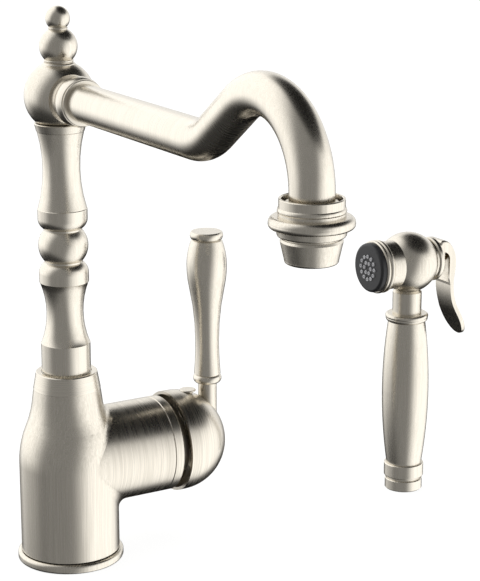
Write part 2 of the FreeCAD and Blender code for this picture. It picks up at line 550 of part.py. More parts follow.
def body_casting():
    """The bulbous body with its side branch, the bores and the underside threads."""
    body = turned("body_casting", [
        ("0", "0"),
        ("foot_radius", "0"),
        ("foot_radius", "base_ring_height + base_gap"),
        ("body_radius", "base_ring_height + base_gap"),
        ("body_radius", "branch_height"),
        ("shoulder_radius", "shoulder_height", "from_axial"),
        ("cone_radius", "cone_height", (IN, "cone_sag")),
        ("cone_radius + rim_step", "cone_height + rim_step"),
        ("rim_radius", "rim_height - rim_chamfer"),
        ("rim_radius - rim_chamfer", "rim_height"),
        ("0", "rim_height")])
    circle = draw_circle(make_sketch(body, "YZ_Plane"), "branch_radius", "0", "branch_height")
    branch = extrude(body, circle, "branch_length")
    doc.recompute()
    fillet(body, branch, seam_edges(branch.Shape), "branch_fillet")
    doc.recompute()
    revolve(body, [
        ("0", "diverter_floor"), ("diverter_radius", "diverter_floor"),
        ("diverter_radius", "socket_bottom"), ("body_bore_radius", "socket_bottom"),
        ("body_bore_radius", "glide_bottom"), ("glide_radius", "glide_bottom"),
        ("glide_radius", "rim_height + cut_over"), ("0", "rim_height + cut_over")], cut=True)
    for radius, start in (("chamber_radius", "chamber_start"), ("nut_radius", "housing_end")):
        drill(body, "YZ_Plane", radius, "0", "branch_height", "branch_length", start, True)
    for side in ("port_offset", "-port_offset"):
        drill(body, "XY_Plane", "inlet_radius", "inlet_x", side, "inlet_depth", "0", True)
        drill(body, "XY_Plane", "port_radius", "inlet_x", side,
              "branch_height - port_drop + port_radius", "0", True)
        drill(body, "YZ_Plane", "port_radius", side, "branch_height - port_drop",
              "chamber_start - inlet_x", "inlet_x", True)
    drill(body, "YZ_Plane", "mix_passage_radius", "0", "mix_passage_height", "chamber_start",
          "0", True)
    drill(body, "XY_Plane", "inlet_radius", "spray_outlet_x", "0", "inlet_depth", "0", True)
    drill(body, "XY_Plane", "spray_passage_radius", "spray_outlet_x", "0",
          "diverter_floor + passage_overlap", "0", True)
    drill(body, "XY_Plane", "stud_hole_radius", "stud_x", "stud_y", "stud_hole_depth", "0", True)
    drill(body, "XZ_Plane", "screw_radius", "0", "screw_height", "rim_radius",
          "-spigot_radius / 2", False)


def seam_edges(shape):
    """The curved seam where the branch runs into the upright body."""
    names = []
    for index, edge in enumerate(shape.Edges, 1):
        box = edge.BoundBox
        wavy = not isinstance(edge.Curve, (Part.Line, Part.Circle))
        if wavy and 0 < box.XMin and box.XMax < value("branch_length - cut_over"):
            names.append("Edge%d" % index)
    return names


def base_parts():
    ring_inner = "base_ring_radius - gasket_width"
    lower_edge = "base_ring_rounding / 3"
    turned("base_ring", [
        ("foot_radius", "gasket_depth"),
        (ring_inner, "gasket_depth"),
        (ring_inner, "0"),
        ("base_ring_radius - " + lower_edge, "0"),
        ("base_ring_radius", lower_edge),
        ("base_ring_radius", "base_ring_height - base_ring_rounding"),
        ("base_ring_radius - base_ring_rounding", "base_ring_height", "from_axial"),
        ("foot_radius", "base_ring_height")])
    turned("base_gasket", [
        ("foot_radius", "0"), (ring_inner, "0"),
        (ring_inner, "gasket_depth"), ("foot_radius", "gasket_depth")])


def bonnet_and_nut():
    """The ring at the branch's mouth and the nut whose skirt shows behind the dome."""
    turned("bonnet_ring", [
        ("nut_skirt_radius", "branch_length"),
        ("branch_radius - bonnet_step", "branch_length"),
        ("branch_radius - bonnet_step", "bonnet_start"),
        ("branch_radius", "bonnet_start"),
        ("branch_radius", "bonnet_end - bonnet_rounding"),
        ("branch_radius - bonnet_rounding", "bonnet_end", "from_axial"),
        ("nut_skirt_radius", "bonnet_end")], ON_BRANCH, ALONG_X)
    skirt_inner = "nut_skirt_radius - nut_skirt_wall"
    nut = turned("cartridge_nut", [
        ("nut_hole_radius", "housing_end"),
        ("nut_radius", "housing_end"),
        ("nut_radius", "branch_length"),
        ("nut_skirt_radius", "branch_length"),
        ("nut_skirt_radius", "nut_skirt_end - nut_chamfer"),
        ("nut_skirt_radius - nut_chamfer", "nut_skirt_end"),
        (skirt_inner, "nut_skirt_end"),
        (skirt_inner, "nut_end"),
        ("nut_hole_radius", "nut_end")], ON_BRANCH, ALONG_X)
    notch = draw_box(make_sketch(nut, "XZ_Plane"), skirt_inner + " - cut_over",
                     "nut_skirt_end - notch_depth", "nut_skirt_radius + cut_over",
                     "nut_skirt_end + cut_over")
    ring_of(nut, extrude(nut, notch, "notch_width", cut=True, midplane=True), "notch_count")


def cartridge():
    """Housing, discs, the turning carrier, and the three port seals behind them."""
    housing = turned("cartridge_housing", [
        ("0", "housing_start"), ("housing_radius", "housing_start"),
        ("housing_radius", "housing_end"), ("cavity_radius", "housing_end"),
        ("cavity_radius", "cavity_start"), ("0", "cavity_start")], ON_BRANCH, ALONG_X)
    disc = turned("fixed_disc", [
        ("0", "cavity_start"), ("cavity_radius", "cavity_start"),
        ("cavity_radius", "fixed_disc_end"), ("0", "fixed_disc_end")], ON_BRANCH, ALONG_X)
    for piece in (housing, disc):
        for side in ("port_offset", "-port_offset"):
            drill(piece, "XY_Plane", "seal_hole_radius", "port_drop", side, "housing_end", "0", True)
    seals = make_body("cartridge_seals", ON_BRANCH, ALONG_X)
    sketch = make_sketch(seals, "XY_Plane", "chamber_start")
    for x, y in (("port_drop", "port_offset"), ("port_drop", "-port_offset"), ("-port_drop", "0")):
        draw_circle(sketch, "seal_radius", x, y)
        draw_circle(sketch, "seal_hole_radius", x, y)
    extrude(seals, sketch, "seal_thickness")
    turned("moving_disc", [
        ("0", "moving_disc_start"), ("moving_disc_radius", "moving_disc_start"),
        ("moving_disc_radius", "moving_disc_end"), ("disc_boss_radius", "moving_disc_end"),
        ("disc_boss_radius", "boss_end"), ("cup_radius", "boss_end"),
        ("cup_radius", "moving_disc_end"), ("0", "moving_disc_end")], ON_BRANCH, ALONG_X)
    flange_end = "housing_end - carrier_play"
    carrier = turned("cartridge_carrier", [
        ("0", "carrier_start"),
        ("cavity_radius - carrier_play", "carrier_start"),
        ("cavity_radius - carrier_play", flange_end),
        ("nose_radius", flange_end),
        ("nose_radius", "carrier_end - edge_break"),
        ("nose_radius - edge_break", "carrier_end"),
        ("0", "carrier_end")], ON_BRANCH, ALONG_X)
    pocket = draw_box(make_sketch(carrier, "XY_Plane", "carrier_start"),
                      "-carrier_pocket_height / 2", "-carrier_pocket_width / 2",
                      "carrier_pocket_height / 2", "carrier_pocket_width / 2")
    extrude(carrier, pocket, "boss_end - carrier_start + pocket_play", cut=True, reverse=True)
    half_slot = "(spindle_radius + slot_play)"
    slot = draw_box(make_sketch(carrier, "XY_Plane", "carrier_start"),
                    "-slot_height / 2", "-" + half_slot, "slot_height / 2", half_slot)
    extrude(carrier, slot, "carrier_end", cut=True, reverse=True)
    hole = draw_circle(make_sketch(carrier, "XZ_Plane"), "pivot_pin_radius", "0", "pivot_along")
    extrude(carrier, hole, "pivot_pin_length", cut=True, midplane=True)
    pin = make_body("pivot_pin", ON_BRANCH, ALONG_X)
    section = draw_circle(make_sketch(pin, "XZ_Plane"), "pivot_pin_radius", "0", "pivot_along")
    extrude(pin, section, "pivot_pin_length", midplane=True)


# ---- handle ----------------------------------------------------------------

def dome_and_spindle():
    """The hollow dome cap, cut aslant at its rim, and the spindle that carries it."""
    rim = "dome_rim_top - cut_over"
    dome = turned("dome_cap", [
        ("0", "spindle_end"), ("spindle_radius", "spindle_end"),
        ("spindle_radius", "dome_boss_start"), ("dome_boss_radius", "dome_boss_start"),
        ("dome_boss_radius", "dome_floor"), ("dome_floor_radius", "dome_floor"),
        ("dome_inner", "dome_centre", "to_axial"), ("dome_inner", rim),
        ("dome_radius", rim), ("dome_radius", "dome_centre"),
        ("0", "dome_centre + dome_radius", "from_axial")], ON_BRANCH, ALONG_X)
    reach = "(dome_radius + cut_over)"
    middle = "((dome_rim_top + dome_rim_bottom) / 2)"
    lean = "((dome_rim_bottom - dome_rim_top) / 2 * %s / dome_radius)" % reach
    aslant = draw(make_sketch(dome, "XZ_Plane"), [
        ("-" + reach, "dome_rim_top - 3 * cut_over"),
        (reach, "dome_rim_top - 3 * cut_over"),
        (reach, middle + " + " + lean),
        ("-" + reach, middle + " - " + lean)])
    extrude(dome, aslant, "2 * " + reach, cut=True, midplane=True)
    drill(dome, "YZ_Plane", "lever_stem_radius", "0", "lever_along", "dome_radius",
          "branch_height - lever_stem_bottom")
    drill(dome, "YZ_Plane", "set_screw_radius", "0", "button_along", "dome_boss_radius + cut_over")
    drill(dome, "YZ_Plane", "button_stem_radius", "0", "button_along", "dome_radius",
          "-dome_boss_radius - cut_over")
    drill(dome, "YZ_Plane", "button_radius + button_play", "0", "button_along", "dome_radius",
          "branch_height - button_base")
    spindle = turned("cartridge_spindle", [
        ("0", "drive_ball_along - drive_ball_radius"),
        ("drive_ball_radius", "drive_ball_along", "from_radial"),
        ("spindle_neck_radius",
         "drive_ball_along + sqrt(drive_ball_radius^2 - spindle_neck_radius^2)", "from_axial"),
        ("spindle_neck_radius", "neck_end"),
        ("spindle_radius", "neck_end + spindle_taper"),
        ("spindle_radius", "spindle_end"), ("0", "spindle_end")], ON_BRANCH, ALONG_X)
    hole = draw_circle(make_sketch(spindle, "XZ_Plane"), "pivot_pin_radius + pivot_play", "0",
                       "pivot_along")
    extrude(spindle, hole, "pivot_pin_length", cut=True, midplane=True)


def lever():
    """Stem, ferrule, the long grip and its knob, screwed together on one stud."""
    stud_end = "ferrule_top + stud_length"
    lip = "ferrule_end_radius + edge_break"
    turned("lever_stem", [
        ("0", "lever_stem_bottom"), ("lever_stem_radius", "lever_stem_bottom"),
        ("lever_stem_radius", "ferrule_bottom"), ("stud_radius", "ferrule_bottom"),
        ("stud_radius", stud_end), ("0", stud_end)], ON_LEVER)
    turned("lever_ferrule", [
        ("stud_radius", "ferrule_bottom"), ("ferrule_end_radius", "ferrule_bottom"),
        (lip, "ferrule_top - edge_break", (OUT, "ferrule_radius - ferrule_end_radius")),
        (lip, "ferrule_top"), ("stud_radius", "ferrule_top")], ON_LEVER)
    turned("lever_grip", [
        ("0", stud_end), ("stud_radius", stud_end),
        ("stud_radius", "ferrule_top"), ("grip_foot_radius", "ferrule_top"),
        ("grip_neck_radius", "grip_neck", "to_axial"),
        ("(grip_neck_radius + grip_belly_radius) / 2", "(grip_neck + grip_belly) / 2", "from_axial"),
        ("grip_belly_radius", "grip_belly", "to_axial"),
        ("grip_shoulder_radius", "grip_shoulder", "from_axial"),
        ("grip_top_radius", "grip_top"),
        ("0", "grip_top")], ON_LEVER)
    turned("lever_knob", [
        ("0", "grip_top"), ("knob_foot_radius", "grip_top"),
        ("knob_radius", "knob_top - knob_edge - knob_band", (IN, "knob_sag")),
        ("knob_radius", "knob_top - knob_edge"),
        ("knob_radius - knob_edge / 2", "knob_top", "from_axial"),
        ("0", "knob_top")], ON_LEVER)


def dome_trim():
    """The small cap over the handle's screw, and the screw below it."""
    half = "button_height / 2"
    turned("indicator_button", [
        ("0", "button_base - button_stem_length"),
        ("button_stem_radius", "button_base - button_stem_length"),
        ("button_stem_radius", "button_base"),
        ("button_radius - " + half, "button_base"),
        ("button_radius", "button_base + " + half, "to_axial"),
        ("button_radius - " + half, "button_base + button_height", "from_axial"),
        ("0", "button_base + button_height")], ON_BUTTON)
    low = "branch_height + spindle_radius"
    turned("handle_set_screw", [
        ("0", low), ("set_screw_radius", low),
        ("set_screw_radius", low + " + set_screw_length"),
        ("0", low + " + set_screw_length")], ON_BUTTON)


# ---- column and spout ------------------------------------------------------

def column():
    """One turned upright: spigot, band, two waists with a bead between, top collar."""
    flared = "band_radius - flare_step"
    body = turned("column", [
        ("bore_radius", "spigot_bottom"),
        ("spigot_radius", "spigot_bottom"),
        ("spigot_radius", "band_bottom"),
        ("band_radius - edge_break", "band_bottom"),
        ("band_radius", "band_bottom + edge_break"),
        ("band_radius", "flare_height - flare_step"),
        (flared, "flare_height"),
        (flared, "lower_waist_top", (IN, "waist_sag")),
        ("band_radius", "lower_waist_top + flare_step"),
        ("band_radius", "lower_bell_height"),
        ("groove_radius", "lower_groove_height - groove_land", "from_axial"),
        ("groove_radius", "lower_groove_height"),
        ("groove_radius", "upper_groove_height", (OUT, "bead_sag")),
        ("groove_radius", "upper_groove_height + groove_land"),
        ("band_radius", "upper_bell_bottom", "to_axial"),
        ("band_radius", "upper_bell_height - flare_step"),
        (flared, "upper_bell_height"),
        ("collar_radius - flare_step", "collar_bottom", (IN, "waist_sag")),
        ("collar_radius", "collar_bottom + flare_step"),
        ("collar_neck_radius", "collar_top", "from_axial"),
        ("bore_radius", "collar_top")])
    cut_groove(body, "screw_height", "retaining_width / 2", "retaining_depth")
    rings = make_body("column_o_rings")
    sketch = make_sketch(rings, "XZ_Plane")
    for middle in ("ring_low", "ring_low + ring_pitch"):
        cut_groove(body, middle, "ring_section", "2 * ring_section")
        draw_circle(sketch, "ring_section", "spigot_radius - ring_section", middle)
    turn_about_axis(rings, sketch)


def cut_groove(body, middle, half, depth):
    """A square groove round the column's spigot."""
    low = "%s - %s" % (middle, half)
    high = "%s + %s" % (middle, half)
    revolve(body, [
        ("spigot_radius - " + depth, low), ("spigot_radius + cut_over", low),
        ("spigot_radius + cut_over", high), ("spigot_radius - " + depth, high)], cut=True)


def column_seat():
    """The plastic glide ring at the body's mouth and the screw that holds the column in."""
    turned("swivel_glide_ring", [
        ("body_bore_radius", "glide_bottom"), ("glide_radius", "glide_bottom"),
        ("glide_radius", "glide_top"), ("body_bore_radius", "glide_top")])
    tip = "spigot_radius - retaining_depth + screw_tip_play"
    head = "rim_radius + screw_recess"
    turned("column_retaining_screw", [
        ("0", tip), ("screw_radius - screw_tip_taper / 2", tip),
        ("screw_radius", tip + " + screw_tip_taper"),
        ("screw_radius", head), ("screw_key_radius", head),
        ("screw_key_radius", head + " - screw_key_depth"),
        ("0", head + " - screw_key_depth")], ON_SCREW, ALONG_Y)


def hub_and_finial():
    hub = turned("hub_ball", [
        ("bore_radius", "collar_top"), ("hub_foot_radius", "collar_top"),
        ("hub_radius", "spout_height", "to_axial"),
        ("finial_foot_radius", "finial_base", "from_axial"), ("0", "finial_base"),
        ("0", "spout_height + bore_radius"),
        ("bore_radius", "spout_height", "to_axial")])
    past = "hub_radius + cut_over"
    flat = draw_box(make_sketch(hub, "YZ_Plane"), "-" + "(" + past + ")", "collar_top - cut_over",
                    "-hub_side_flat", "spout_height + " + past)
    extrude(hub, flat, "2 * (%s)" % past, cut=True, midplane=True)
    drill(hub, "XZ_Plane", "bore_radius", "0", "spout_height", "hub_radius", "0", True)
    turned("finial", [
        ("0", "finial_base"), ("finial_foot_radius", "finial_base"),
        ("finial_waist_radius", "finial_waist", (IN, "finial_foot_sag")),
        ("mid_ball_radius", "mid_ball_height", "to_axial"),
        ("finial_neck_radius", "finial_neck", "from_axial"),
        ("finial_neck_radius", "ridge_bottom"),
        ("finial_neck_radius", "ridge_top", (OUT, "ridge_sag")),
        ("small_neck_radius", "small_neck", (IN, "small_neck_sag")),
        ("small_ball_radius", "small_ball_height", "to_axial"),
        ("0", "small_ball_height + small_ball_radius", "from_axial")])


def spout():
    """Socket collar on the hub and the bent tube, swept along one planar path."""
    turned("socket_collar", [
        ("tube_radius", "hub_side_flat"),
        ("socket_step_radius", "hub_side_flat"),
        ("socket_step_radius", "socket_step_end"),
        ("socket_groove_radius", "socket_step_end + edge_break"),
        ("socket_groove_radius", "socket_band_start - edge_break"),
        ("socket_band_radius", "socket_band_start"),
        ("socket_band_radius", "socket_band_end", (OUT, "socket_band_sag")),
        ("socket_groove_radius", "socket_band_end + edge_break"),
        ("socket_groove_radius", "socket_lip_start - edge_break"),
        ("socket_lip_radius", "socket_lip_start"),
        ("socket_lip_radius", "socket_lip_end", (OUT, "edge_break")),
        ("tube_radius", "socket_lip_end")], ON_HUB, ALONG_MINUS_Y)
    tube = make_body("spout_tube")
    path = draw(make_sketch(tube, "YZ_Plane"), [
        ("-tube_start", "spout_height"),
        ("-tube_straight", "spout_height"),
        ("-rise_end", "rise_height", "from_radial"),
        ("-climb_end", "climb_height"),
        ("-tube_reach", "leg_height", (V(-1, 1, 0), "crest_sag")),
        ("-tube_reach", "tube_end")], closed=False)
    section = make_sketch(tube, "XZ_Plane", "tube_start")
    draw_circle(section, "tube_radius", "0", "spout_height")
    draw_circle(section, "tube_bore", "0", "spout_height")
    pipe = tube.newObject("PartDesign::AdditivePipe", "spout_tube_swept")
    pipe.Profile = (section, [""])
    pipe.Spine = (path, [])
    pipe.Transition = 0


# ---- aerator ---------------------------------------------------------------

def aerator():
    """Flanged collar on the tube's end, the tip below it, and what lies inside them."""
    turned("aerator_collar", [
        ("tube_radius", "aerator_floor"),
        ("aerator_rim_radius - aerator_wall", "aerator_floor"),
        ("aerator_rim_radius - aerator_wall", "aerator_rim"),
        ("aerator_rim_radius", "aerator_rim", (V(0, 1, 0), "edge_break")),
        ("aerator_rim_radius", "aerator_floor + 2 * bead_rise"),
        ("aerator_neck_radius", "aerator_floor - bead_fall", (OUT, "aerator_bead_sag")),
        ("aerator_neck_radius", "flange_top"),
        ("flange_face_radius", "flange_top"),
        ("flange_radius", "(flange_top + flange_bottom) / 2", "from_radial"),
        ("flange_face_radius + edge_break", "flange_bottom", "to_radial"),
        ("aerator_foot_radius + edge_break", "flange_bottom"),
        ("aerator_foot_radius", "foot_shoulder"),
        ("aerator_foot_radius - 2 * edge_break", "aerator_foot", (OUT, "edge_break / 2")),
        ("thread_radius", "aerator_foot"), ("thread_radius", "washer_top"),
        ("tube_bore", "washer_top"), ("tube_bore", "tube_end"),
        ("tube_radius", "tube_end")], ON_OUTLET)
    turned("tube_end_ring", [
        ("tube_radius", "aerator_floor"), ("end_ring_radius", "aerator_floor"),
        ("end_ring_radius", "end_ring_top - end_ring_rounding"),
        ("end_ring_radius - end_ring_rounding", "end_ring_top", "from_axial"),
        ("tube_radius", "end_ring_top")], ON_OUTLET)
    turned("aerator_tip", [
        ("tip_mouth_radius", "tip_bottom + edge_break"),
        ("tip_mouth_radius + edge_break", "tip_bottom"),
        ("tip_bottom_radius - tip_edge", "tip_bottom"),
        ("tip_bottom_radius", "tip_bottom + tip_edge", "to_axial"),
        ("tip_top_radius", "tip_top - tip_lead"),
        ("tip_top_radius - tip_lead / 2", "tip_top"),
        ("thread_radius", "tip_top"),
        ("thread_radius", "washer_bottom"), ("tip_mouth_radius", "washer_bottom")], ON_OUTLET)
    turned("aerator_washer", [
        ("tube_bore", "washer_bottom"), ("thread_radius", "washer_bottom"),
        ("thread_radius", "washer_top"), ("tube_bore", "washer_top")], ON_OUTLET)
    insert = turned("aerator_insert", [
        ("0", "insert_bottom"), ("tip_mouth_radius", "insert_bottom"),
        ("tip_mouth_radius", "washer_bottom"), ("tip_mouth_radius - insert_wall", "washer_bottom"),
        ("tip_mouth_radius - insert_wall", "insert_bottom + insert_floor"),
        ("0", "insert_bottom + insert_floor")], ON_OUTLET)
    hole = draw_circle(make_sketch(insert, "XY_Plane", "insert_bottom"), "insert_hole_radius",
                       "insert_hole_ring", "0")
    cut = extrude(insert, hole, "insert_floor + cut_over", cut=True, reverse=True)
    ring_of(insert, cut, "insert_hole_count")
    turned("aerator_screen", [
        ("0", "screen_bottom"), ("tip_mouth_radius", "screen_bottom"),
        ("tip_mouth_radius", "insert_bottom"), ("0", "insert_bottom")], ON_OUTLET)


# ---- diverter --------------------------------------------------------------

def diverter():
    """A plunger on a spring in a sleeve: it opens the spray's way when the spray is used."""
    turned("diverter_sleeve", [
        ("sleeve_bore", "sleeve_bottom"), ("diverter_radius", "sleeve_bottom"),
        ("diverter_radius", "sleeve_top"), ("sleeve_bore", "sleeve_top")])
    turned("diverter_plunger", [
        ("0", "plunger_bottom"), ("plunger_skirt", "plunger_bottom"),
        ("plunger_skirt", "sleeve_bottom + plunger_lead"),
        ("plunger_radius", "sleeve_bottom + 2 * plunger_lead"),
        ("plunger_radius", "plunger_top - plunger_chamfer"),
        ("plunger_radius - plunger_chamfer", "plunger_top"), ("0", "plunger_top")])
    coil("diverter_spring", "plunger_skirt", "diverter_floor", "plunger_bottom - spring_play")


# ---- hand spray ------------------------------------------------------------

def spray_handle():
    """Hose nut, end collar, the tapered grip, the water tube inside and the neck."""
    edge = "hose_nut_bevel"
    turned("spray_hose_nut", [
        ("hose_thread_radius", "0"), ("hose_nut_radius - " + edge, "0"),
        ("hose_nut_radius", edge), ("hose_nut_radius", "hose_nut_height - edge_break"),
        ("hose_nut_radius - edge_break", "hose_nut_height"),
        ("hose_thread_radius", "hose_nut_height")], ON_SPRAY)
    turned("spray_end_collar", [
        ("water_tube_radius", "hose_nut_height"), ("slot_radius", "hose_nut_height"),
        ("slot_radius", "end_collar_bottom"),
        ("end_collar_radius - end_collar_edge", "end_collar_bottom"),
        ("end_collar_radius", "end_collar_bottom + end_collar_edge", "to_axial"),
        ("end_collar_radius", "end_collar_top - end_collar_edge"),
        ("end_collar_radius - end_collar_edge", "end_collar_top", "from_axial"),
        ("water_tube_radius", "end_collar_top")], ON_SPRAY)
    turned("spray_grip", [
        ("grip_bore_radius", "end_collar_top"), ("grip_bottom_radius", "end_collar_top"),
        ("grip_bottom_radius", "end_collar_top + grip_land"),
        ("grip_max_radius", "grip_middle", "to_axial"),
        ("grip_end_radius", "spray_grip_top", "from_axial"),
        ("grip_bore_radius", "spray_grip_top")], ON_SPRAY)
    turned("spray_water_tube", [
        ("water_tube_bore", "hose_nut_height"), ("water_tube_radius", "hose_nut_height"),
        ("water_tube_radius", "neck_seat"), ("water_tube_bore", "neck_seat")], ON_SPRAY)
    turned("spray_neck", [
        ("water_tube_radius", "spray_grip_top"),
        ("spray_ring_radius - spray_ring_foot", "spray_grip_top"),
        ("spray_ring_radius", "spray_grip_top + spray_ring_height / 2", "from_radial"),
        ("spray_ring_radius - spray_ring_shoulder", "spray_ring_top", "to_radial"),
        ("spray_neck_radius", "spray_ring_top"),
        ("spray_neck_radius", "neck_top - neck_bevel"),
        ("spray_neck_radius - neck_bevel", "neck_top"),
        ("water_tube_bore", "neck_top"),
        ("water_tube_bore", "neck_seat"),
        ("water_tube_radius", "neck_seat")], ON_SPRAY)


def spray_head():
    """Ball head along its nozzle axis: the local z runs from the lever side to the face."""
    head = turned("spray_head", [
        ("0", "-back_boss_end"), ("back_boss_radius", "-back_boss_end"),
        ("back_boss_radius", "-back_boss_start"),
        ("ball_radius", "0", "to_axial"),
        ("barrel_radius", "sqrt(ball_radius^2 - barrel_radius^2)", "from_axial"),
        ("barrel_radius", "barrel_end"), ("valve_chamber_radius", "barrel_end"),
        ("valve_chamber_radius", "valve_seat"), ("valve_throat_radius", "valve_seat"),
        ("valve_throat_radius", "valve_seat - valve_throat_length"),
        ("0", "valve_seat - valve_throat_length")], ON_BALL, ALONG_MINUS_X)
    drill(head, "XY_Plane", "stem_hole_radius", "0", "0", "back_boss_end + cut_over")
    drill(head, "YZ_Plane", "feed_radius", "0", "0", "ball_radius")
    past = "(ball_radius + cut_over)"
    flat = draw_box(make_sketch(head, "XZ_Plane"), "-" + past, "-" + past, "-ball_flat", past)
    extrude(head, flat, "2 * " + past, cut=True, midplane=True)
    back = turned("spray_back_ring", [
        ("stem_hole_radius", "-back_ring_end"),
        ("back_ring_radius - back_ring_rounding", "-back_ring_end"),
        ("back_ring_radius", "-back_ring_end + back_ring_rounding", "to_axial"),
        ("back_ring_radius", "-back_boss_end - back_ring_break"),
        ("back_ring_radius - back_ring_break", "-back_boss_end"),
        ("stem_hole_radius", "-back_boss_end")], ON_BALL, ALONG_MINUS_X)
    lug = draw(make_sketch(back, "XZ_Plane"), [
        ("-lug_drop", "-back_ring_end"), ("-lug_drop", "-lug_end"),
        ("hinge_up", "-hinge_along - lug_ear_radius"),
        ("hinge_up", "-back_ring_end", (OUT, "lug_ear_radius"))])
    extrude(back, lug, "lug_width", midplane=True)
    drill(back, "XY_Plane", "stem_hole_radius", "0", "0", "lug_end + lug_length")
    bore = draw_circle(make_sketch(back, "XZ_Plane"), "hinge_pin_radius", "hinge_up", "-hinge_along")
    extrude(back, bore, "trigger_width", cut=True, midplane=True)
    pin = make_body("spray_hinge_pin", ON_BALL, ALONG_MINUS_X)
    rod = draw_circle(make_sketch(pin, "XZ_Plane"), "hinge_pin_radius", "hinge_up", "-hinge_along")
    extrude(pin, rod, "trigger_width - 2 * pin_inset", midplane=True)


def spray_face():
    """Beaded ring, the spray face with its two rings of nozzles, and the spring plate."""
    turned("spray_face_ring", [
        ("face_socket_radius", "barrel_end"),
        ("face_ring_radius", "barrel_end"),
        ("face_ring_radius", "face_ring_middle", (OUT, "face_bead")),
        ("face_ring_radius", "face_ring_end", (OUT, "face_bead")),
        ("face_socket_radius", "face_ring_end")], ON_BALL, ALONG_MINUS_X)
    turned("spray_face", [
        ("0", "plate_top"), ("face_socket_radius", "plate_top"),
        ("face_socket_radius", "face_ring_end"), ("face_radius", "face_ring_end"),
        ("face_radius", "face_end - face_edge"),
        ("face_radius - face_edge", "face_end", "from_axial"),
        ("0", "face_end")], ON_BALL, ALONG_MINUS_X)
    for ring in ("outer", "inner"):
        nozzles = make_body("spray_nozzles_" + ring, ON_BALL, ALONG_MINUS_X)
        nub = draw_circle(make_sketch(nozzles, "XY_Plane", "face_end"), "nozzle_radius",
                          "nozzle_%s_radius" % ring, "0")
        ring_of(nozzles, extrude(nozzles, nub, "nozzle_height"), "nozzle_%s_count" % ring)
    plate = turned("spray_spring_plate", [
        ("0", "barrel_end"), ("face_socket_radius", "barrel_end"),
        ("face_socket_radius", "plate_top"), ("0", "plate_top")], ON_BALL, ALONG_MINUS_X)
    hole = draw_circle(make_sketch(plate, "XY_Plane", "barrel_end"), "plate_hole_radius",
                       "plate_hole_ring", "0")
    ring_of(plate, extrude(plate, hole, "plate_thickness", cut=True, reverse=True),
            "plate_hole_count")


def spray_valve():
    """Stem, head and washer that the trigger pushes off the seat, and their spring."""
    turned("valve_stem", [
        ("0", "-stem_tip"), ("valve_stem_radius - stem_point", "-stem_tip"),
        ("valve_stem_radius", "-stem_tip + stem_point"),
        ("valve_stem_radius", "valve_head_low"), ("valve_head_radius", "valve_head_low"),
        ("valve_head_radius", "valve_head_top"), ("0", "valve_head_top")],
        ON_BALL, ALONG_MINUS_X)
    seat = "valve_seat + valve_washer_gap"
    turned("valve_washer", [
        ("valve_stem_radius", seat), ("valve_head_radius", seat),
        ("valve_head_radius", "valve_head_low"), ("valve_stem_radius", "valve_head_low")],
        ON_BALL, ALONG_MINUS_X)
    coil("valve_spring", "valve_head_radius - spring_wire", "valve_head_top", "barrel_end",
         ON_BALL, ALONG_MINUS_X)


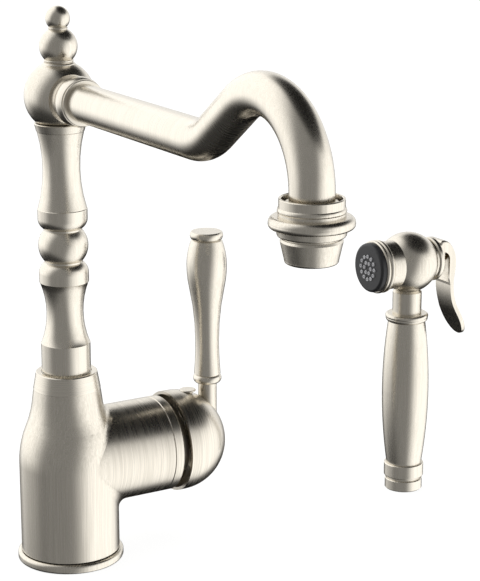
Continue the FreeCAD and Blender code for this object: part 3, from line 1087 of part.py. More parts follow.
def spray_trigger():
    """A hooded channel round the hinge lug that runs out to a swept, tongue-shaped blade."""
    body = make_body("spray_trigger", ON_BALL, ALONG_MINUS_X)
    side = draw(make_sketch(body, "XZ_Plane"), [
        ("hood_top", "-hinge_along", "to_axial"),
        ("hinge_up + shoulder_up", "-shoulder_along", "from_axial"),
        ("-swell_drop", "-swell_along", "to_radial"),
        ("-(swell_drop + waist_drop) / 2", "-(swell_along + waist_along) / 2", "from_radial"),
        ("-waist_drop", "-waist_along", "to_radial"),
        ("-sweep_drop", "-sweep_along", "from_radial"),
        ("-trigger_tip_drop", "-sweep_along - trigger_tip_out"),
        ("-tongue_drop", "-sweep_along - trigger_tip_out + skin_in"),
        ("-sweep_drop - skin_down", "-sweep_along + skin_in"),
        ("-waist_drop", "-waist_along + blade_thickness", "to_radial"),
        ("-cheek_drop", "-cheek_along"),
        ("0", "-cheek_along"),
        ("hinge_up - cheek_ear", "-hinge_along - hinge_pin_radius", "from_radial"),
        ("hinge_up - cheek_ear", "-hinge_along"),
        ("hinge_up", "-cheek_back", "to_radial"),
        ("hinge_up + cheek_ear", "-cheek_back")])
    extrude(body, side, "blade_width", midplane=True)
    half_top = "trigger_width / 2"
    half_blade = "blade_width / 2"
    flare = "-(flare_drop + widest_drop) / 2"
    half_flare = "(trigger_width + blade_width) / 4"
    shoulder = "-tongue_drop + tongue_side"
    half_shoulder = "(blade_width / 2 - tongue_shoulder)"
    front = draw_box(make_sketch(body, "XY_Plane"), "hood_top + cut_over", "-blade_width",
                     "-tongue_drop - cut_over", "blade_width")
    draw(front, [
        ("hood_top + cut_over / 2", "-" + half_top), ("hood_top + cut_over / 2", half_top),
        ("-flare_drop", half_top), (flare, half_flare, "from_radial"),
        ("-widest_drop", half_blade, "to_radial"),
        (shoulder, half_shoulder, "from_radial"), ("-tongue_drop", "0", "to_axial"),
        (shoulder, "-" + half_shoulder, "from_axial"),
        ("-widest_drop", "-" + half_blade, "to_radial"),
        (flare, "-" + half_flare, "from_radial"), ("-flare_drop", "-" + half_top, "to_radial")])
    trimmed = extrude(body, front, "sweep_along + trigger_tip_out + cut_over", cut=True)
    doc.recompute()
    fillet(body, trimmed, back_edges(trimmed.Shape), "trigger_edge")
    doc.recompute()
    hood = "hood_top - hood_skin"
    channel = draw(make_sketch(body, "XZ_Plane"), [
        (hood, "-hinge_along"),
        ("hinge_up + shoulder_up - hood_skin / 2", "-shoulder_along + hood_skin", "from_axial"),
        ("-swell_drop", "-swell_along + trigger_skin", "to_radial"),
        ("-(swell_drop + waist_drop) / 2", "-(swell_along + waist_along) / 2 + trigger_skin"),
        ("-hollow_drop", "-waist_along + blade_thickness"),
        ("-hollow_drop", "-back_boss_end"),
        (hood, "-back_boss_end")])
    extrude(body, channel, "trigger_width - 2 * cheek", cut=True, midplane=True)
    bore = draw_circle(make_sketch(body, "XZ_Plane"), "hinge_pin_radius + running_play",
                       "hinge_up", "-hinge_along")
    extrude(body, bore, "trigger_width + cut_over", cut=True, midplane=True)


def back_edges(shape):
    """The long edges between the trigger's outward faces and its sides."""
    found = set()
    for face in shape.Faces:
        low_u, high_u, low_v, high_v = face.ParameterRange
        normal = face.normalAt((low_u + high_u) / 2, (low_v + high_v) / 2)
        if normal.z > -0.2 or abs(face.CenterOfMass.y) > 0.1:
            continue
        for edge in face.Edges:
            middle = edge.valueAt((edge.FirstParameter + edge.LastParameter) / 2)
            if abs(middle.y) > value("trigger_width / 4"):
                found.update(i for i, e in enumerate(shape.Edges, 1) if e.isSame(edge))
    return ["Edge%d" % i for i in sorted(found)]


def check_objects():
    """Stops when any object failed or any piece isn't a valid solid."""
    for item in doc.Objects:
        if "Invalid" in item.State or "Error" in item.State:
            raise RuntimeError("%s is %s" % (item.Label, item.State))
    for piece in pieces:
        if piece.Shape.isNull() or not piece.Shape.isValid() or not piece.Shape.Solids:
            raise RuntimeError(piece.Label + " has no valid solid")


def build():
    fill_sheet()
    body_casting()
    base_parts()
    bonnet_and_nut()
    cartridge()
    dome_and_spindle()
    lever()
    dome_trim()
    column()
    column_seat()
    hub_and_finial()
    spout()
    aerator()
    diverter()
    spray_handle()
    spray_head()
    spray_face()
    spray_valve()
    spray_trigger()
    doc.recompute()
    check_objects()


build()
os.makedirs("parts", exist_ok=True)
for piece in pieces:
    piece.Shape.exportStep("parts/%s.step" % piece.Label)
    print("%-24s solids %d  volume %9.1f" % (piece.Label, len(piece.Shape.Solids), piece.Shape.Volume))
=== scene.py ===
import bpy
import bmesh
import math
from mathutils import Matrix, Vector


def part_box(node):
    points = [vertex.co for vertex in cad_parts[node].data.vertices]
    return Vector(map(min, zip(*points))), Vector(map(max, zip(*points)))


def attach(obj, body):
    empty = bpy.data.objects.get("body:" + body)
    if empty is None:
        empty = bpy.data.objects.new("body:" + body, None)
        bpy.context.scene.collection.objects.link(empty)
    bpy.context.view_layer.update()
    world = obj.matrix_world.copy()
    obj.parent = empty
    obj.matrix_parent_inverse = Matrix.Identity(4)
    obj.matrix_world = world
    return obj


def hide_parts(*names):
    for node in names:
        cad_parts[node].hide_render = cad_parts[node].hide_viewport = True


# The look of a side spray kitchen faucet in brushed nickel: the finish of every
# piece, the fine pieces that repeat, and a plain studio.  Metres, +Z up.

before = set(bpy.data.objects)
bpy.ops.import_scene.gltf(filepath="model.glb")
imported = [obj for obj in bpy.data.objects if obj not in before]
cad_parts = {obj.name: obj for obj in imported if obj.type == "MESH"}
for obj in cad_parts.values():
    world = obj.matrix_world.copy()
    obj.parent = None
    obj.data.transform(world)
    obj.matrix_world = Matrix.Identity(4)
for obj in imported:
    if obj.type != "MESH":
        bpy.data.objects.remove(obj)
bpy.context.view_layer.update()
MM = 0.001


# ---- node boards ---------------------------------------------------------------

class Wire:
    """One output socket, so that shader maths reads as arithmetic."""

    def __init__(self, board, socket):
        self.board = board
        self.socket = socket

    def maths(self, operation, *values):
        return self.board.add("ShaderNodeMath", {"operation": operation},
                              dict(enumerate(values)))

    def __add__(self, other):
        return self.maths("ADD", self, other)

    def __sub__(self, other):
        return self.maths("SUBTRACT", self, other)

    def __rsub__(self, other):
        return self.maths("SUBTRACT", other, self)

    def __mul__(self, other):
        return self.maths("MULTIPLY", self, other)

    def __truediv__(self, other):
        return self.maths("DIVIDE", self, other)

    def __gt__(self, other):
        return self.maths("GREATER_THAN", self, other)

    def __lt__(self, other):
        return self.maths("LESS_THAN", self, other)

    def __neg__(self):
        return self.maths("MULTIPLY", self, -1.0)

    __radd__ = __add__
    __rmul__ = __mul__

    def root(self):
        return self.maths("SQRT", self)

    def cosine(self):
        return self.maths("COSINE", self)

    def at_least(self, low):
        return self.maths("MAXIMUM", self, low)

    def angle_to(self, other):
        return self.maths("ARCTAN2", self, other)

    def chosen(self, otherwise, mask):
        """This value where the mask is 1, the other where it is 0."""
        return otherwise + mask * (self - otherwise)

    def ramp(self, low, high, to_low=0.0, to_high=1.0):
        """A soft step: to_low up to low, to_high from high."""
        return self.board.add("ShaderNodeMapRange", {"interpolation_type": "SMOOTHSTEP"},
                              {"Value": self, "From Min": low, "From Max": high,
                               "To Min": to_low, "To Max": to_high})


class Board:
    """A node tree; add() makes any node from its type, settings and sockets."""

    def __init__(self, tree):
        self.tree = tree
        tree.nodes.clear()

    def add(self, kind, settings=None, sockets=None, output=0):
        made = self.tree.nodes.new(kind)
        for name, setting in (settings or {}).items():
            setattr(made, name, setting)
        for name, value in (sockets or {}).items():
            if isinstance(value, Wire):
                self.tree.links.new(value.socket, made.inputs[name])
            else:
                made.inputs[name].default_value = value
        return Wire(self, made.outputs[output] if len(made.outputs) else None)

    def several(self, kind, settings, sockets, outputs):
        """Like add(), but gives one wire for each named output."""
        first = self.add(kind, settings, sockets)
        node = first.socket.node
        return [Wire(self, node.outputs[name]) for name in outputs]

    def join_xyz(self, x, y, z):
        return self.add("ShaderNodeCombineXYZ", {}, {0: x, 1: y, 2: z})

    def blend_colours(self, factor, one, two):
        """The first colour where the factor is 0, the second where it is 1."""
        return self.add("ShaderNodeMix", {"data_type": "RGBA"},
                        {0: factor, 6: one, 7: two}, output=2)


class Finish(Board):
    """One material, with its object-space place and a Principled surface."""

    def __init__(self, name):
        self.material = bpy.data.materials.new(name)
        self.material.use_nodes = True
        super().__init__(self.material.node_tree)
        point = self.add("ShaderNodeTexCoord", {}, {}, output="Object")
        self.x, self.y, self.z = self.several("ShaderNodeSeparateXYZ", {}, {0: point}, "XYZ")

    def noise(self, x, y, z, detail=2.0, roughness=0.55):
        """Noise from 0 to 1 at a place already scaled to the grain's own size."""
        return self.add("ShaderNodeTexNoise", {"noise_dimensions": "3D"},
                        {"Vector": self.join_xyz(x, y, z), "Scale": 1.0,
                         "Detail": detail, "Roughness": roughness})

    def grain(self, x, y, z, sizes):
        """Noise drawn out to a size of its own along each of three ways."""
        return self.noise(*(way * (1 / size) for way, size in zip((x, y, z), sizes)))

    def painted_shade_openness(self, reach):
        """Painted shade from ambient occlusion: 1 on open faces, falling towards 0 where two faces
        meet inwards.
        """
        return self.add("ShaderNodeAmbientOcclusion", {"samples": PAINTED_SHADE_SAMPLES},
                        {"Distance": reach}, output="AO").ramp(PAINTED_SHADE_SHUT, PAINTED_SHADE_OPEN)

    def bump(self, height, strength, distance):
        return self.add("ShaderNodeBump", {}, {"Height": height, "Strength": strength,
                                               "Distance": distance})

    def surface(self, colour, roughness, normal=None, **fixed):
        sockets = {"Base Color": colour, "Roughness": roughness}
        for name, value in fixed.items():
            sockets[name.replace("_", " ").title()] = value
        if normal is not None:
            sockets["Normal"] = normal
        shade = self.add("ShaderNodeBsdfPrincipled", {}, sockets)
        self.add("ShaderNodeOutputMaterial", {}, {"Surface": shade})
        return self.material


# ---- finishes --------------------------------------------------------------------

NICKEL = (0.765, 0.715, 0.625, 1.0)
NICKEL_DARK_GRAIN = (0.61, 0.57, 0.49, 1.0)
FINE_GRAIN = 0.35 * MM
COARSE_GRAIN = 1.1 * MM
FINE_SHARE = 0.6
COARSE_SHARE = 0.4
GRAIN_LENGTH = 32.0 * MM
GRAIN_LOW, GRAIN_HIGH = 0.36, 0.64
GRAIN_TINT = 0.62
GRAIN_RELIEF = 0.08
RELIEF_HEIGHT = 0.12 * MM
CLOUDS_PER_METRE = 45
NICKEL_ROUGHNESS = 0.25
GRAIN_ROUGHNESS = 0.08
CLOUD_ROUGHNESS = 0.02
# Painted shade in creases and where parts meet: its reach, its dark brown colour, and where it
# fades in and out.
PAINTED_SHADE_REACH = 1.2 * MM
PAINTED_CREASE_SHADE = (0.085, 0.075, 0.062, 1.0)
PAINTED_SHADE_SHUT, PAINTED_SHADE_OPEN = 0.10, 0.52
PAINTED_SHADE_SAMPLES = 16

# How deep the brushing is, next to 1 for the body and the balls, and the band over which it turns.
RINGED_DEPTH = 1.15
RIM_DEPTH = 0.55
TUBE_DEPTH = 0.6
SATIN_DEPTH = 0.7
GRAIN_CHANGE = 3.0 * MM

MARKS_PER_METRE = 90
MARKS_RELIEF = 0.12
MARKS_HEIGHT = 0.08 * MM
MARKS_ROUGHNESS = 0.16
TURNED_ROUGHNESS = 0.24
FINE_CLOUDS_PER_METRE = 120
SKIN_ROUGHNESS = 0.14
SKIN_HEIGHT = 0.05 * MM


def brushed_nickel(finish, grain, depth):
    """Nickel plate with brush strokes from grain(width), as deep as depth says, and painted shade
    darkening its creases.
    """
    strokes = grain(FINE_GRAIN) * FINE_SHARE + grain(COARSE_GRAIN) * COARSE_SHARE
    contrast = strokes.ramp(GRAIN_LOW, GRAIN_HIGH)
    cloud = finish.noise(finish.x * CLOUDS_PER_METRE, finish.y * CLOUDS_PER_METRE,
                         finish.z * CLOUDS_PER_METRE, detail=1.0)
    brushed = finish.blend_colours(contrast * (GRAIN_TINT * depth), NICKEL, NICKEL_DARK_GRAIN)
    # Painted shade: ambient occlusion blends the brushed colour towards dark brown in creases and
    # between parts.
    colour = finish.blend_colours(finish.painted_shade_openness(PAINTED_SHADE_REACH), PAINTED_CREASE_SHADE, brushed)
    roughness = (NICKEL_ROUGHNESS + contrast * (GRAIN_ROUGHNESS * depth)
                 + (cloud - 0.5) * CLOUD_ROUGHNESS)
    normal = finish.bump(strokes, GRAIN_RELIEF * depth, RELIEF_HEIGHT)
    return finish.surface(colour, roughness, normal, metallic=1.0)


def lengthwise_nickel(name, depth=1.0):
    """Brushed up and down, as on the column, the balls and the spray's grip."""
    finish = Finish(name)

    def grain(width):
        return finish.grain(finish.x, finish.y, finish.z, (width, width, GRAIN_LENGTH))
    return brushed_nickel(finish, grain, depth)


def ringed_branch_nickel(name):
    """Brushed in rings round an axis along X, as on the dome and its ring."""
    finish = Finish(name)

    def grain(width):
        return finish.grain(finish.x, finish.y, finish.z, (width, GRAIN_LENGTH, GRAIN_LENGTH))
    return brushed_nickel(finish, grain, RINGED_DEPTH)


def body_nickel(name):
    """Up and down on the body, in rings on its side branch and level lines on its rim."""
    finish = Finish(name)
    out = (finish.x * finish.x + finish.y * finish.y).root()
    on_branch = out.ramp(BODY_RADIUS, BODY_RADIUS + GRAIN_CHANGE)
    on_rim = finish.z > RIM_SEAM * MM

    def grain(width):
        place = (finish.x, finish.y, finish.z)
        upright = finish.grain(*place, (width, width, GRAIN_LENGTH))
        ringed = finish.grain(*place, (width, GRAIN_LENGTH, GRAIN_LENGTH))
        level = finish.grain(*place, (GRAIN_LENGTH, GRAIN_LENGTH, width))
        return level.chosen(ringed.chosen(upright, on_branch), on_rim)
    depth = 1.0 + on_branch * (RINGED_DEPTH - 1.0) - on_rim * (1.0 - RIM_DEPTH)
    return brushed_nickel(finish, grain, depth)


def tube_nickel(name):
    """Brushed round the straight and climbing tube, and along it over the crest."""
    finish = Finish(name)
    forward = -finish.y
    rise = math.radians(RISE_ANGLE)
    rise_end = STRAIGHT_END + RISE_RADIUS * math.sin(rise)
    rise_top = SPOUT_HEIGHT + RISE_RADIUS * (1 - math.cos(rise))
    crest_start = rise_end + CLIMB_LENGTH * math.cos(rise)
    crest_foot = rise_top + CLIMB_LENGTH * math.sin(rise)
    crest_middle = crest_start + CREST_RADIUS * math.sin(rise)
    crest_centre = crest_foot - CREST_RADIUS * math.cos(rise)

    def up_slope(start, height):
        return (forward - start) * math.cos(rise) + (finish.z - height) * math.sin(rise)
    on_rise = forward > STRAIGHT_END
    on_climb = up_slope(rise_end, rise_top) > 0.0
    on_crest = up_slope(crest_start, crest_foot) > 0.0
    on_drop = on_crest * (finish.z < crest_centre)
    rise_turn = (forward - STRAIGHT_END).angle_to(SPOUT_HEIGHT + RISE_RADIUS - finish.z)
    crest_turn = (finish.z - crest_centre).angle_to(forward - crest_middle)
    run = forward
    run = (rise_turn * RISE_RADIUS + STRAIGHT_END).chosen(run, on_rise)
    run = (up_slope(rise_end, rise_top) + STRAIGHT_END + RISE_RADIUS * rise).chosen(run, on_climb)
    run = (crest_turn * -CREST_RADIUS).chosen(run, on_crest)
    run = (-finish.z).chosen(run, on_drop)
    off_run = on_drop.chosen(1.0 - on_crest, on_crest)
    level = finish.z.chosen(forward, off_run)

    def grain(width):
        place = (run, finish.x, level)
        round_it = finish.grain(*place, (width, GRAIN_LENGTH, GRAIN_LENGTH))
        along_it = finish.grain(*place, (GRAIN_LENGTH, width, width))
        return along_it.chosen(round_it, on_crest)
    return brushed_nickel(finish, grain, TUBE_DEPTH)


def turned_metal(name, colour, dark, spacing):
    """A lathe-turned inner piece, with fine tool marks in rings about X or Z."""
    finish = Finish(name)
    marks = finish.noise(finish.x * (1 / spacing), finish.y * MARKS_PER_METRE,
                         finish.z * (1 / spacing))
    tone = finish.blend_colours(marks.ramp(0.35, 0.65), colour, dark)
    return finish.surface(tone, marks * MARKS_ROUGHNESS + TURNED_ROUGHNESS,
                          finish.bump(marks, MARKS_RELIEF, MARKS_HEIGHT), metallic=1.0)


def moulded(name, colour, dark, roughness, pitch=0.5 * MM, relief=0.15):
    """A moulded plastic, rubber or ceramic piece with its own fine skin."""
    finish = Finish(name)
    skin = finish.noise(finish.x * (1 / pitch), finish.y * (1 / pitch), finish.z * (1 / pitch),
                        detail=3.0)
    cloud = finish.noise(finish.x * FINE_CLOUDS_PER_METRE, finish.y * FINE_CLOUDS_PER_METRE,
                         finish.z * FINE_CLOUDS_PER_METRE)
    tone = finish.blend_colours(cloud.ramp(0.3, 0.7), colour, dark)
    return finish.surface(tone, skin * SKIN_ROUGHNESS + (roughness - SKIN_ROUGHNESS / 2),
                          finish.bump(skin, relief, SKIN_HEIGHT))


BODY_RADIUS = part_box("base_ring")[1].x - 2.0 * MM
RIM_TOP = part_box("body_casting")[1].z / MM
RIM_SEAM = RIM_TOP - 9.1
# The spout's path: straight, a bend up, a climb, and a crest that ends pointing down.
SPOUT_HEIGHT = sum(corner.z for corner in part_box("socket_collar")) / 2
STRAIGHT_END = 138.8 * MM
RISE_RADIUS = 29.3 * MM
RISE_ANGLE = 35.85
CLIMB_LENGTH = 27.4 * MM
CREST_RADIUS = 35.2 * MM

upright_nickel = lengthwise_nickel("nickel_brushed_lengthwise")
satin_nickel = lengthwise_nickel("nickel_satin_lengthwise", SATIN_DEPTH)
ringed_nickel = ringed_branch_nickel("nickel_brushed_in_rings")
casting_nickel = body_nickel("nickel_on_body_casting")
spout_nickel = tube_nickel("nickel_brushed_across_tube")
collar_nickel = tube_nickel("nickel_on_tube_socket")
# The cartridge nut: turned plated metal, made darker than the outer nickel, partly as painted
# shade for the slot in the dome.
nut_darkened_as_slot_shade = turned_metal("nickel_turned_dark", (0.46, 0.42, 0.36, 1), (0.33, 0.30, 0.26, 1),
                          0.4 * MM)
nut_brass = turned_metal("brass_turned", (0.42, 0.30, 0.14, 1), (0.30, 0.21, 0.10, 1), 0.3 * MM)
bare_steel = turned_metal("steel_wire_and_pins", (0.56, 0.56, 0.55, 1), (0.42, 0.42, 0.41, 1),
                          0.25 * MM)
seal_black = moulded("rubber_seal_black", (0.030, 0.030, 0.031, 1), (0.018, 0.018, 0.018, 1), 0.62)
acetal_white = moulded("acetal_cream", (0.78, 0.76, 0.70, 1), (0.70, 0.68, 0.62, 1), 0.42)
disc_ceramic = moulded("ceramic_polished", (0.88, 0.87, 0.84, 1), (0.82, 0.81, 0.78, 1), 0.14,
                       relief=0.03)
face_charcoal = moulded("face_plastic_charcoal", (0.011, 0.011, 0.012, 1),
                        (0.008, 0.008, 0.009, 1), 0.46, 0.3 * MM, 0.25)
nozzle_grey = moulded("nozzle_silicone_grey", (0.33, 0.33, 0.34, 1), (0.26, 0.26, 0.27, 1), 0.5)

FINISH_OF = {
    casting_nickel: ["body_casting"],
    upright_nickel: ["base_ring", "hub_ball", "finial", "aerator_collar", "aerator_tip",
                     "tube_end_ring", "spray_head", "spray_neck", "spray_trigger"],
    satin_nickel: ["column", "lever_stem", "lever_ferrule", "lever_grip", "lever_knob",
                   "indicator_button", "spray_grip", "spray_end_collar", "spray_hose_nut"],
    ringed_nickel: ["bonnet_ring", "dome_cap", "spray_back_ring", "spray_face_ring"],
    spout_nickel: ["spout_tube"],
    collar_nickel: ["socket_collar"],
    nut_darkened_as_slot_shade: ["cartridge_nut"],
    nut_brass: ["column_retaining_screw", "valve_stem"],
    bare_steel: ["cartridge_spindle", "pivot_pin", "handle_set_screw", "diverter_spring",
                 "spray_hinge_pin", "valve_spring", "aerator_screen"],
    seal_black: ["base_gasket", "cartridge_seals", "column_o_rings", "aerator_washer",
                 "valve_washer"],
    acetal_white: ["cartridge_housing", "cartridge_carrier", "swivel_glide_ring",
                   "aerator_insert", "diverter_sleeve", "diverter_plunger", "spray_water_tube",
                   "spray_spring_plate"],
    disc_ceramic: ["fixed_disc", "moving_disc"],
    face_charcoal: ["spray_face"],
    nozzle_grey: ["spray_nozzles_outer", "spray_nozzles_inner"],
}
for material, nodes in FINISH_OF.items():
    for node in nodes:
        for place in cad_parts[node].material_slots:
            place.material = material


# ---- turned pieces ---------------------------------------------------------------

UP = Vector((0, 0, 1))
ALONG_SPOUT = Vector((0, -1, 0))
ALONG_BRANCH = Vector((1, 0, 0))
TO_THE_BACK = Vector((0, 1, 0))
ROUND_STEPS = 128
ARC_STEP = math.radians(6)
SHARP_ANGLE = math.radians(28)


def arc_between(start, end, centre):
    """Points after start up to end, round a centre, the short way."""
    first = math.atan2(start[1] - centre[1], start[0] - centre[0])
    sweep = math.atan2(end[1] - centre[1], end[0] - centre[0]) - first
    sweep = (sweep + math.pi) % math.tau - math.pi
    radius = math.hypot(start[0] - centre[0], start[1] - centre[1])
    steps = max(3, math.ceil(abs(sweep) / ARC_STEP))
    return [(centre[0] + radius * math.cos(first + sweep * i / steps),
             centre[1] + radius * math.sin(first + sweep * i / steps))
            for i in range(1, steps)] + [end]


def bent_outline(outline):
    """Outline corners in mm, each with how its line arrives: straight where it says nothing,
    "to_axial" or "from_axial" for an arc that ends or starts along the axis, and a number
    for an arc that bulges outwards by that much, or inwards where it is negative."""
    points = [outline[0][:2]]
    for radius, along, *how in outline[1:]:
        (r0, z0), end = points[-1], (radius, along)
        rise, run = along - z0, radius - r0
        half_way = (r0 + radius) / 2
        if not how:
            points.append(end)
            continue
        if how[0] == "to_axial":
            centre = (half_way - rise ** 2 / (2 * run), along)
        elif how[0] == "from_axial":
            centre = (half_way + rise ** 2 / (2 * run), z0)
        else:
            sag = how[0]
            chord = math.hypot(rise, run)
            reach = (chord ** 2 / 4 - sag ** 2) / (2 * sag)
            centre = (half_way - rise / chord * reach, (z0 + along) / 2 + run / chord * reach)
        points += arc_between(points[-1], end, centre)
    return points


def turned(name, outline, foot=(0, 0, 0), axis=UP, hexagon=()):
    """A closed solid of revolution; the outline's radii named in hexagon are a hex key's."""
    side = axis.orthogonal().normalized()
    across = axis.cross(side)
    lathe = bmesh.new()
    rings = []
    for radius, along in bent_outline(outline):
        middle = Vector(foot) + axis * along
        if radius == 0:
            rings.append([lathe.verts.new(middle * MM)])
            continue
        ring = []
        for step in range(ROUND_STEPS):
            turn = math.tau * step / ROUND_STEPS
            flat = (turn % math.radians(60)) - math.radians(30)
            reach = radius / math.cos(flat) if radius in hexagon else radius
            place = middle + (side * math.cos(turn) + across * math.sin(turn)) * reach
            ring.append(lathe.verts.new(place * MM))
        rings.append(ring)
    if len(rings[0]) > 1:
        rings.append(rings[0])
    for low, high in zip(rings, rings[1:]):
        for step in range(ROUND_STEPS):
            after = (step + 1) % ROUND_STEPS
            corners = [low[step % len(low)], low[after % len(low)],
                       high[after % len(high)], high[step % len(high)]]
            corners = list(dict.fromkeys(corners))
            if len(corners) > 2:
                lathe.faces.new(corners)
    bmesh.ops.recalc_face_normals(lathe, faces=lathe.faces)
    return finished_piece(name, lathe)


def finished_piece(name, shape):
    """A bmesh as a piece at the origin, smooth but for its sharp corners."""
    mesh = bpy.data.meshes.new(name)
    shape.to_mesh(mesh)
    shape.free()
    mesh.shade_smooth()
    mesh.set_sharp_from_angle(angle=SHARP_ANGLE)
    piece = bpy.data.objects.new(name, mesh)
    bpy.context.scene.collection.objects.link(piece)
    return piece


def fit(piece, body, slot, material, *nodes):
    """Puts a piece on its body in place of nodes, in a finish of its own."""
    if not piece.data.materials:
        piece.data.materials.append(material)
    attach(piece, body)
    if nodes:
        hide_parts(*nodes)


# The column's radii and heights, in mm, from its foot to its collar.
EDGE = 0.4
FLARE_STEP = 0.25
SPIGOT = 12.0
HUB_SPIGOT = 11.9
BORE = 7.05
BAND = 12.75
GROOVE = 9.75
GROOVE_LAND = 0.8
COLLAR = BAND - 0.55
COLLAR_LIP = COLLAR + 1.05
WAIST_SAG = -3.0
BEAD_SAG = 3.05
NECK_SAG = -2.7
BAND_FOOT = RIM_TOP + 0.35
FLARE_TOP = BAND_FOOT + 15.3
LOWER_WAIST = FLARE_TOP + 32.05
LOWER_BELL = LOWER_WAIST + 4.95
LOWER_GROOVE = LOWER_BELL + 5.5 + GROOVE_LAND
UPPER_GROOVE = LOWER_GROOVE + 16.1
UPPER_BELL = UPPER_GROOVE + GROOVE_LAND + 5.3
UPPER_BAND = UPPER_BELL + 5.2
COLLAR_FOOT = UPPER_BAND + 39.55
COLLAR_TOP = COLLAR_FOOT + 4.4


def upright():
    """The turned column: band, two waists with a bead between their bells, and a collar."""
    spigot_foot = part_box("column")[0].z / MM
    hub_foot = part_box("hub_ball")[0].z / MM
    return turned("turned_column", [
        (BORE, spigot_foot), (SPIGOT, spigot_foot), (SPIGOT, BAND_FOOT),
        (BAND - EDGE, BAND_FOOT), (BAND, BAND_FOOT + EDGE), (BAND, FLARE_TOP - FLARE_STEP),
        (BAND - FLARE_STEP, FLARE_TOP), (BAND - FLARE_STEP, LOWER_WAIST, WAIST_SAG),
        (BAND, LOWER_WAIST + FLARE_STEP), (BAND, LOWER_BELL),
        (GROOVE, LOWER_GROOVE - GROOVE_LAND, "from_axial"), (GROOVE, LOWER_GROOVE),
        (GROOVE, UPPER_GROOVE, BEAD_SAG), (GROOVE, UPPER_GROOVE + GROOVE_LAND),
        (BAND, UPPER_BELL, "to_axial"), (BAND, UPPER_BAND - FLARE_STEP),
        (BAND - FLARE_STEP, UPPER_BAND), (COLLAR - FLARE_STEP, COLLAR_FOOT, NECK_SAG),
        (COLLAR, COLLAR_FOOT + FLARE_STEP), (COLLAR_LIP, COLLAR_TOP - EDGE),
        (COLLAR_LIP - EDGE, COLLAR_TOP), (HUB_SPIGOT, COLLAR_TOP), (HUB_SPIGOT, hub_foot),
        (BORE, hub_foot)])


def crown_finial():
    """Two thin rings, a ball, a neck with one ridge, and a small ball on top."""
    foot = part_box("finial")[0].z / MM
    ball, small_ball, waist = 9.6, 6.15, 7.1
    lip, land = 1.2, 0.2
    lip_bulge, ring_bulge, ridge_bulge, dip = 0.3, 0.35, 0.25, -0.15
    neck = small_ball - 1.5
    small_neck = small_ball - 1.6
    lip_top = foot + 1.1
    waist_top = foot + 2.48
    ball_height = waist_top + math.sqrt(ball ** 2 - waist ** 2)
    neck_height = ball_height + math.sqrt(ball ** 2 - neck ** 2)
    ridge_foot = neck_height + land
    ridge_top = ridge_foot + 0.85
    small_foot = ridge_top + 0.3
    small_height = small_foot + math.sqrt(small_ball ** 2 - small_neck ** 2)
    return turned("turned_finial", [
        (0, foot), (waist + lip, foot), (waist, lip_top, lip_bulge), (waist, lip_top + land),
        (waist, waist_top, ring_bulge), (ball, ball_height, "to_axial"),
        (neck, neck_height, "from_axial"), (neck, ridge_foot), (neck, ridge_top, ridge_bulge),
        (small_neck, small_foot, dip), (small_ball, small_height, "to_axial"),
        (0, small_height + small_ball, "from_axial")])


def tube_socket():
    """The stepped collar where the spout tube leaves the hub, turned along -Y."""
    start = -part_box("socket_collar")[1].y / MM
    tube = 9.5
    step, groove, band, lip = tube + 1.6, tube + 0.9, tube + 2.2, tube + 1.6
    band_bulge = 0.9
    step_end = start + 4.6
    band_start = step_end + 1.0
    band_end = band_start + 7.8
    lip_start = band_end + 0.5 + EDGE
    lip_end = lip_start + 0.9
    return turned("turned_tube_socket", [
        (tube, start), (step, start), (step, step_end), (groove, step_end + EDGE),
        (groove, band_start - EDGE), (band, band_start), (band, band_end, band_bulge),
        (groove, band_end + EDGE), (groove, lip_start - EDGE), (lip, lip_start),
        (lip, lip_end, EDGE), (tube, lip_end)],
        (0, 0, SPOUT_HEIGHT / MM), ALONG_SPOUT)


def lever_grip_and_knob():
    """The long waisted grip and the rounded knob on its end."""
    low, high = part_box("lever_grip")
    middle = ((low.x + high.x) / 2 / MM, 0, 0)
    stud, heel, neck, belly, shoulder, end = 3.0, 7.2, 6.4, 10.85, 8.3, 7.8
    foot = low.z / MM
    stud_top = foot + 12.0
    neck_height = foot + 18.1
    belly_height = foot + 60.3
    swell_share = 30.0 / 42.2
    swell = neck + (belly - neck) * swell_share
    swell_height = neck_height + (belly_height - neck_height) * swell_share
    shoulder_height = belly_height + 13.7
    top = shoulder_height + EDGE
    grip = turned("turned_lever_grip", [
        (0, stud_top), (stud, stud_top), (stud, foot), (heel, foot),
        (neck, neck_height, "to_axial"), (swell, swell_height, "from_axial"),
        (belly, belly_height, "to_axial"), (shoulder, shoulder_height, "from_axial"),
        (end, top), (0, top)], middle)
    knob_foot, knob_bulge, knob_crown = 7.7, 8.9, 8.1
    bulge_height, crown = top + 2.4, top + 4.4
    knob = turned("turned_lever_knob", [
        (0, top), (knob_foot, top), (knob_bulge, bulge_height, "to_axial"),
        (knob_crown, crown, "from_axial"), (0, crown)], middle)
    return grip, knob


def foot_ring():
    """The ring under the body, rounded above and below, with a recess for the gasket."""
    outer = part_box("base_ring")[1].x / MM
    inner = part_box("base_gasket")[1].x / MM
    body = BODY_RADIUS / MM - 1.5
    recess, under_edge, over_edge, height = 1.0, 1.4, 1.8, 4.8
    return turned("turned_base_ring", [
        (body, recess), (inner, recess), (inner, 0), (outer - under_edge, 0),
        (outer, under_edge, "to_axial"), (outer, height - over_edge),
        (outer - over_edge, height, "from_axial"), (body, height)])


SCREW = 2.5


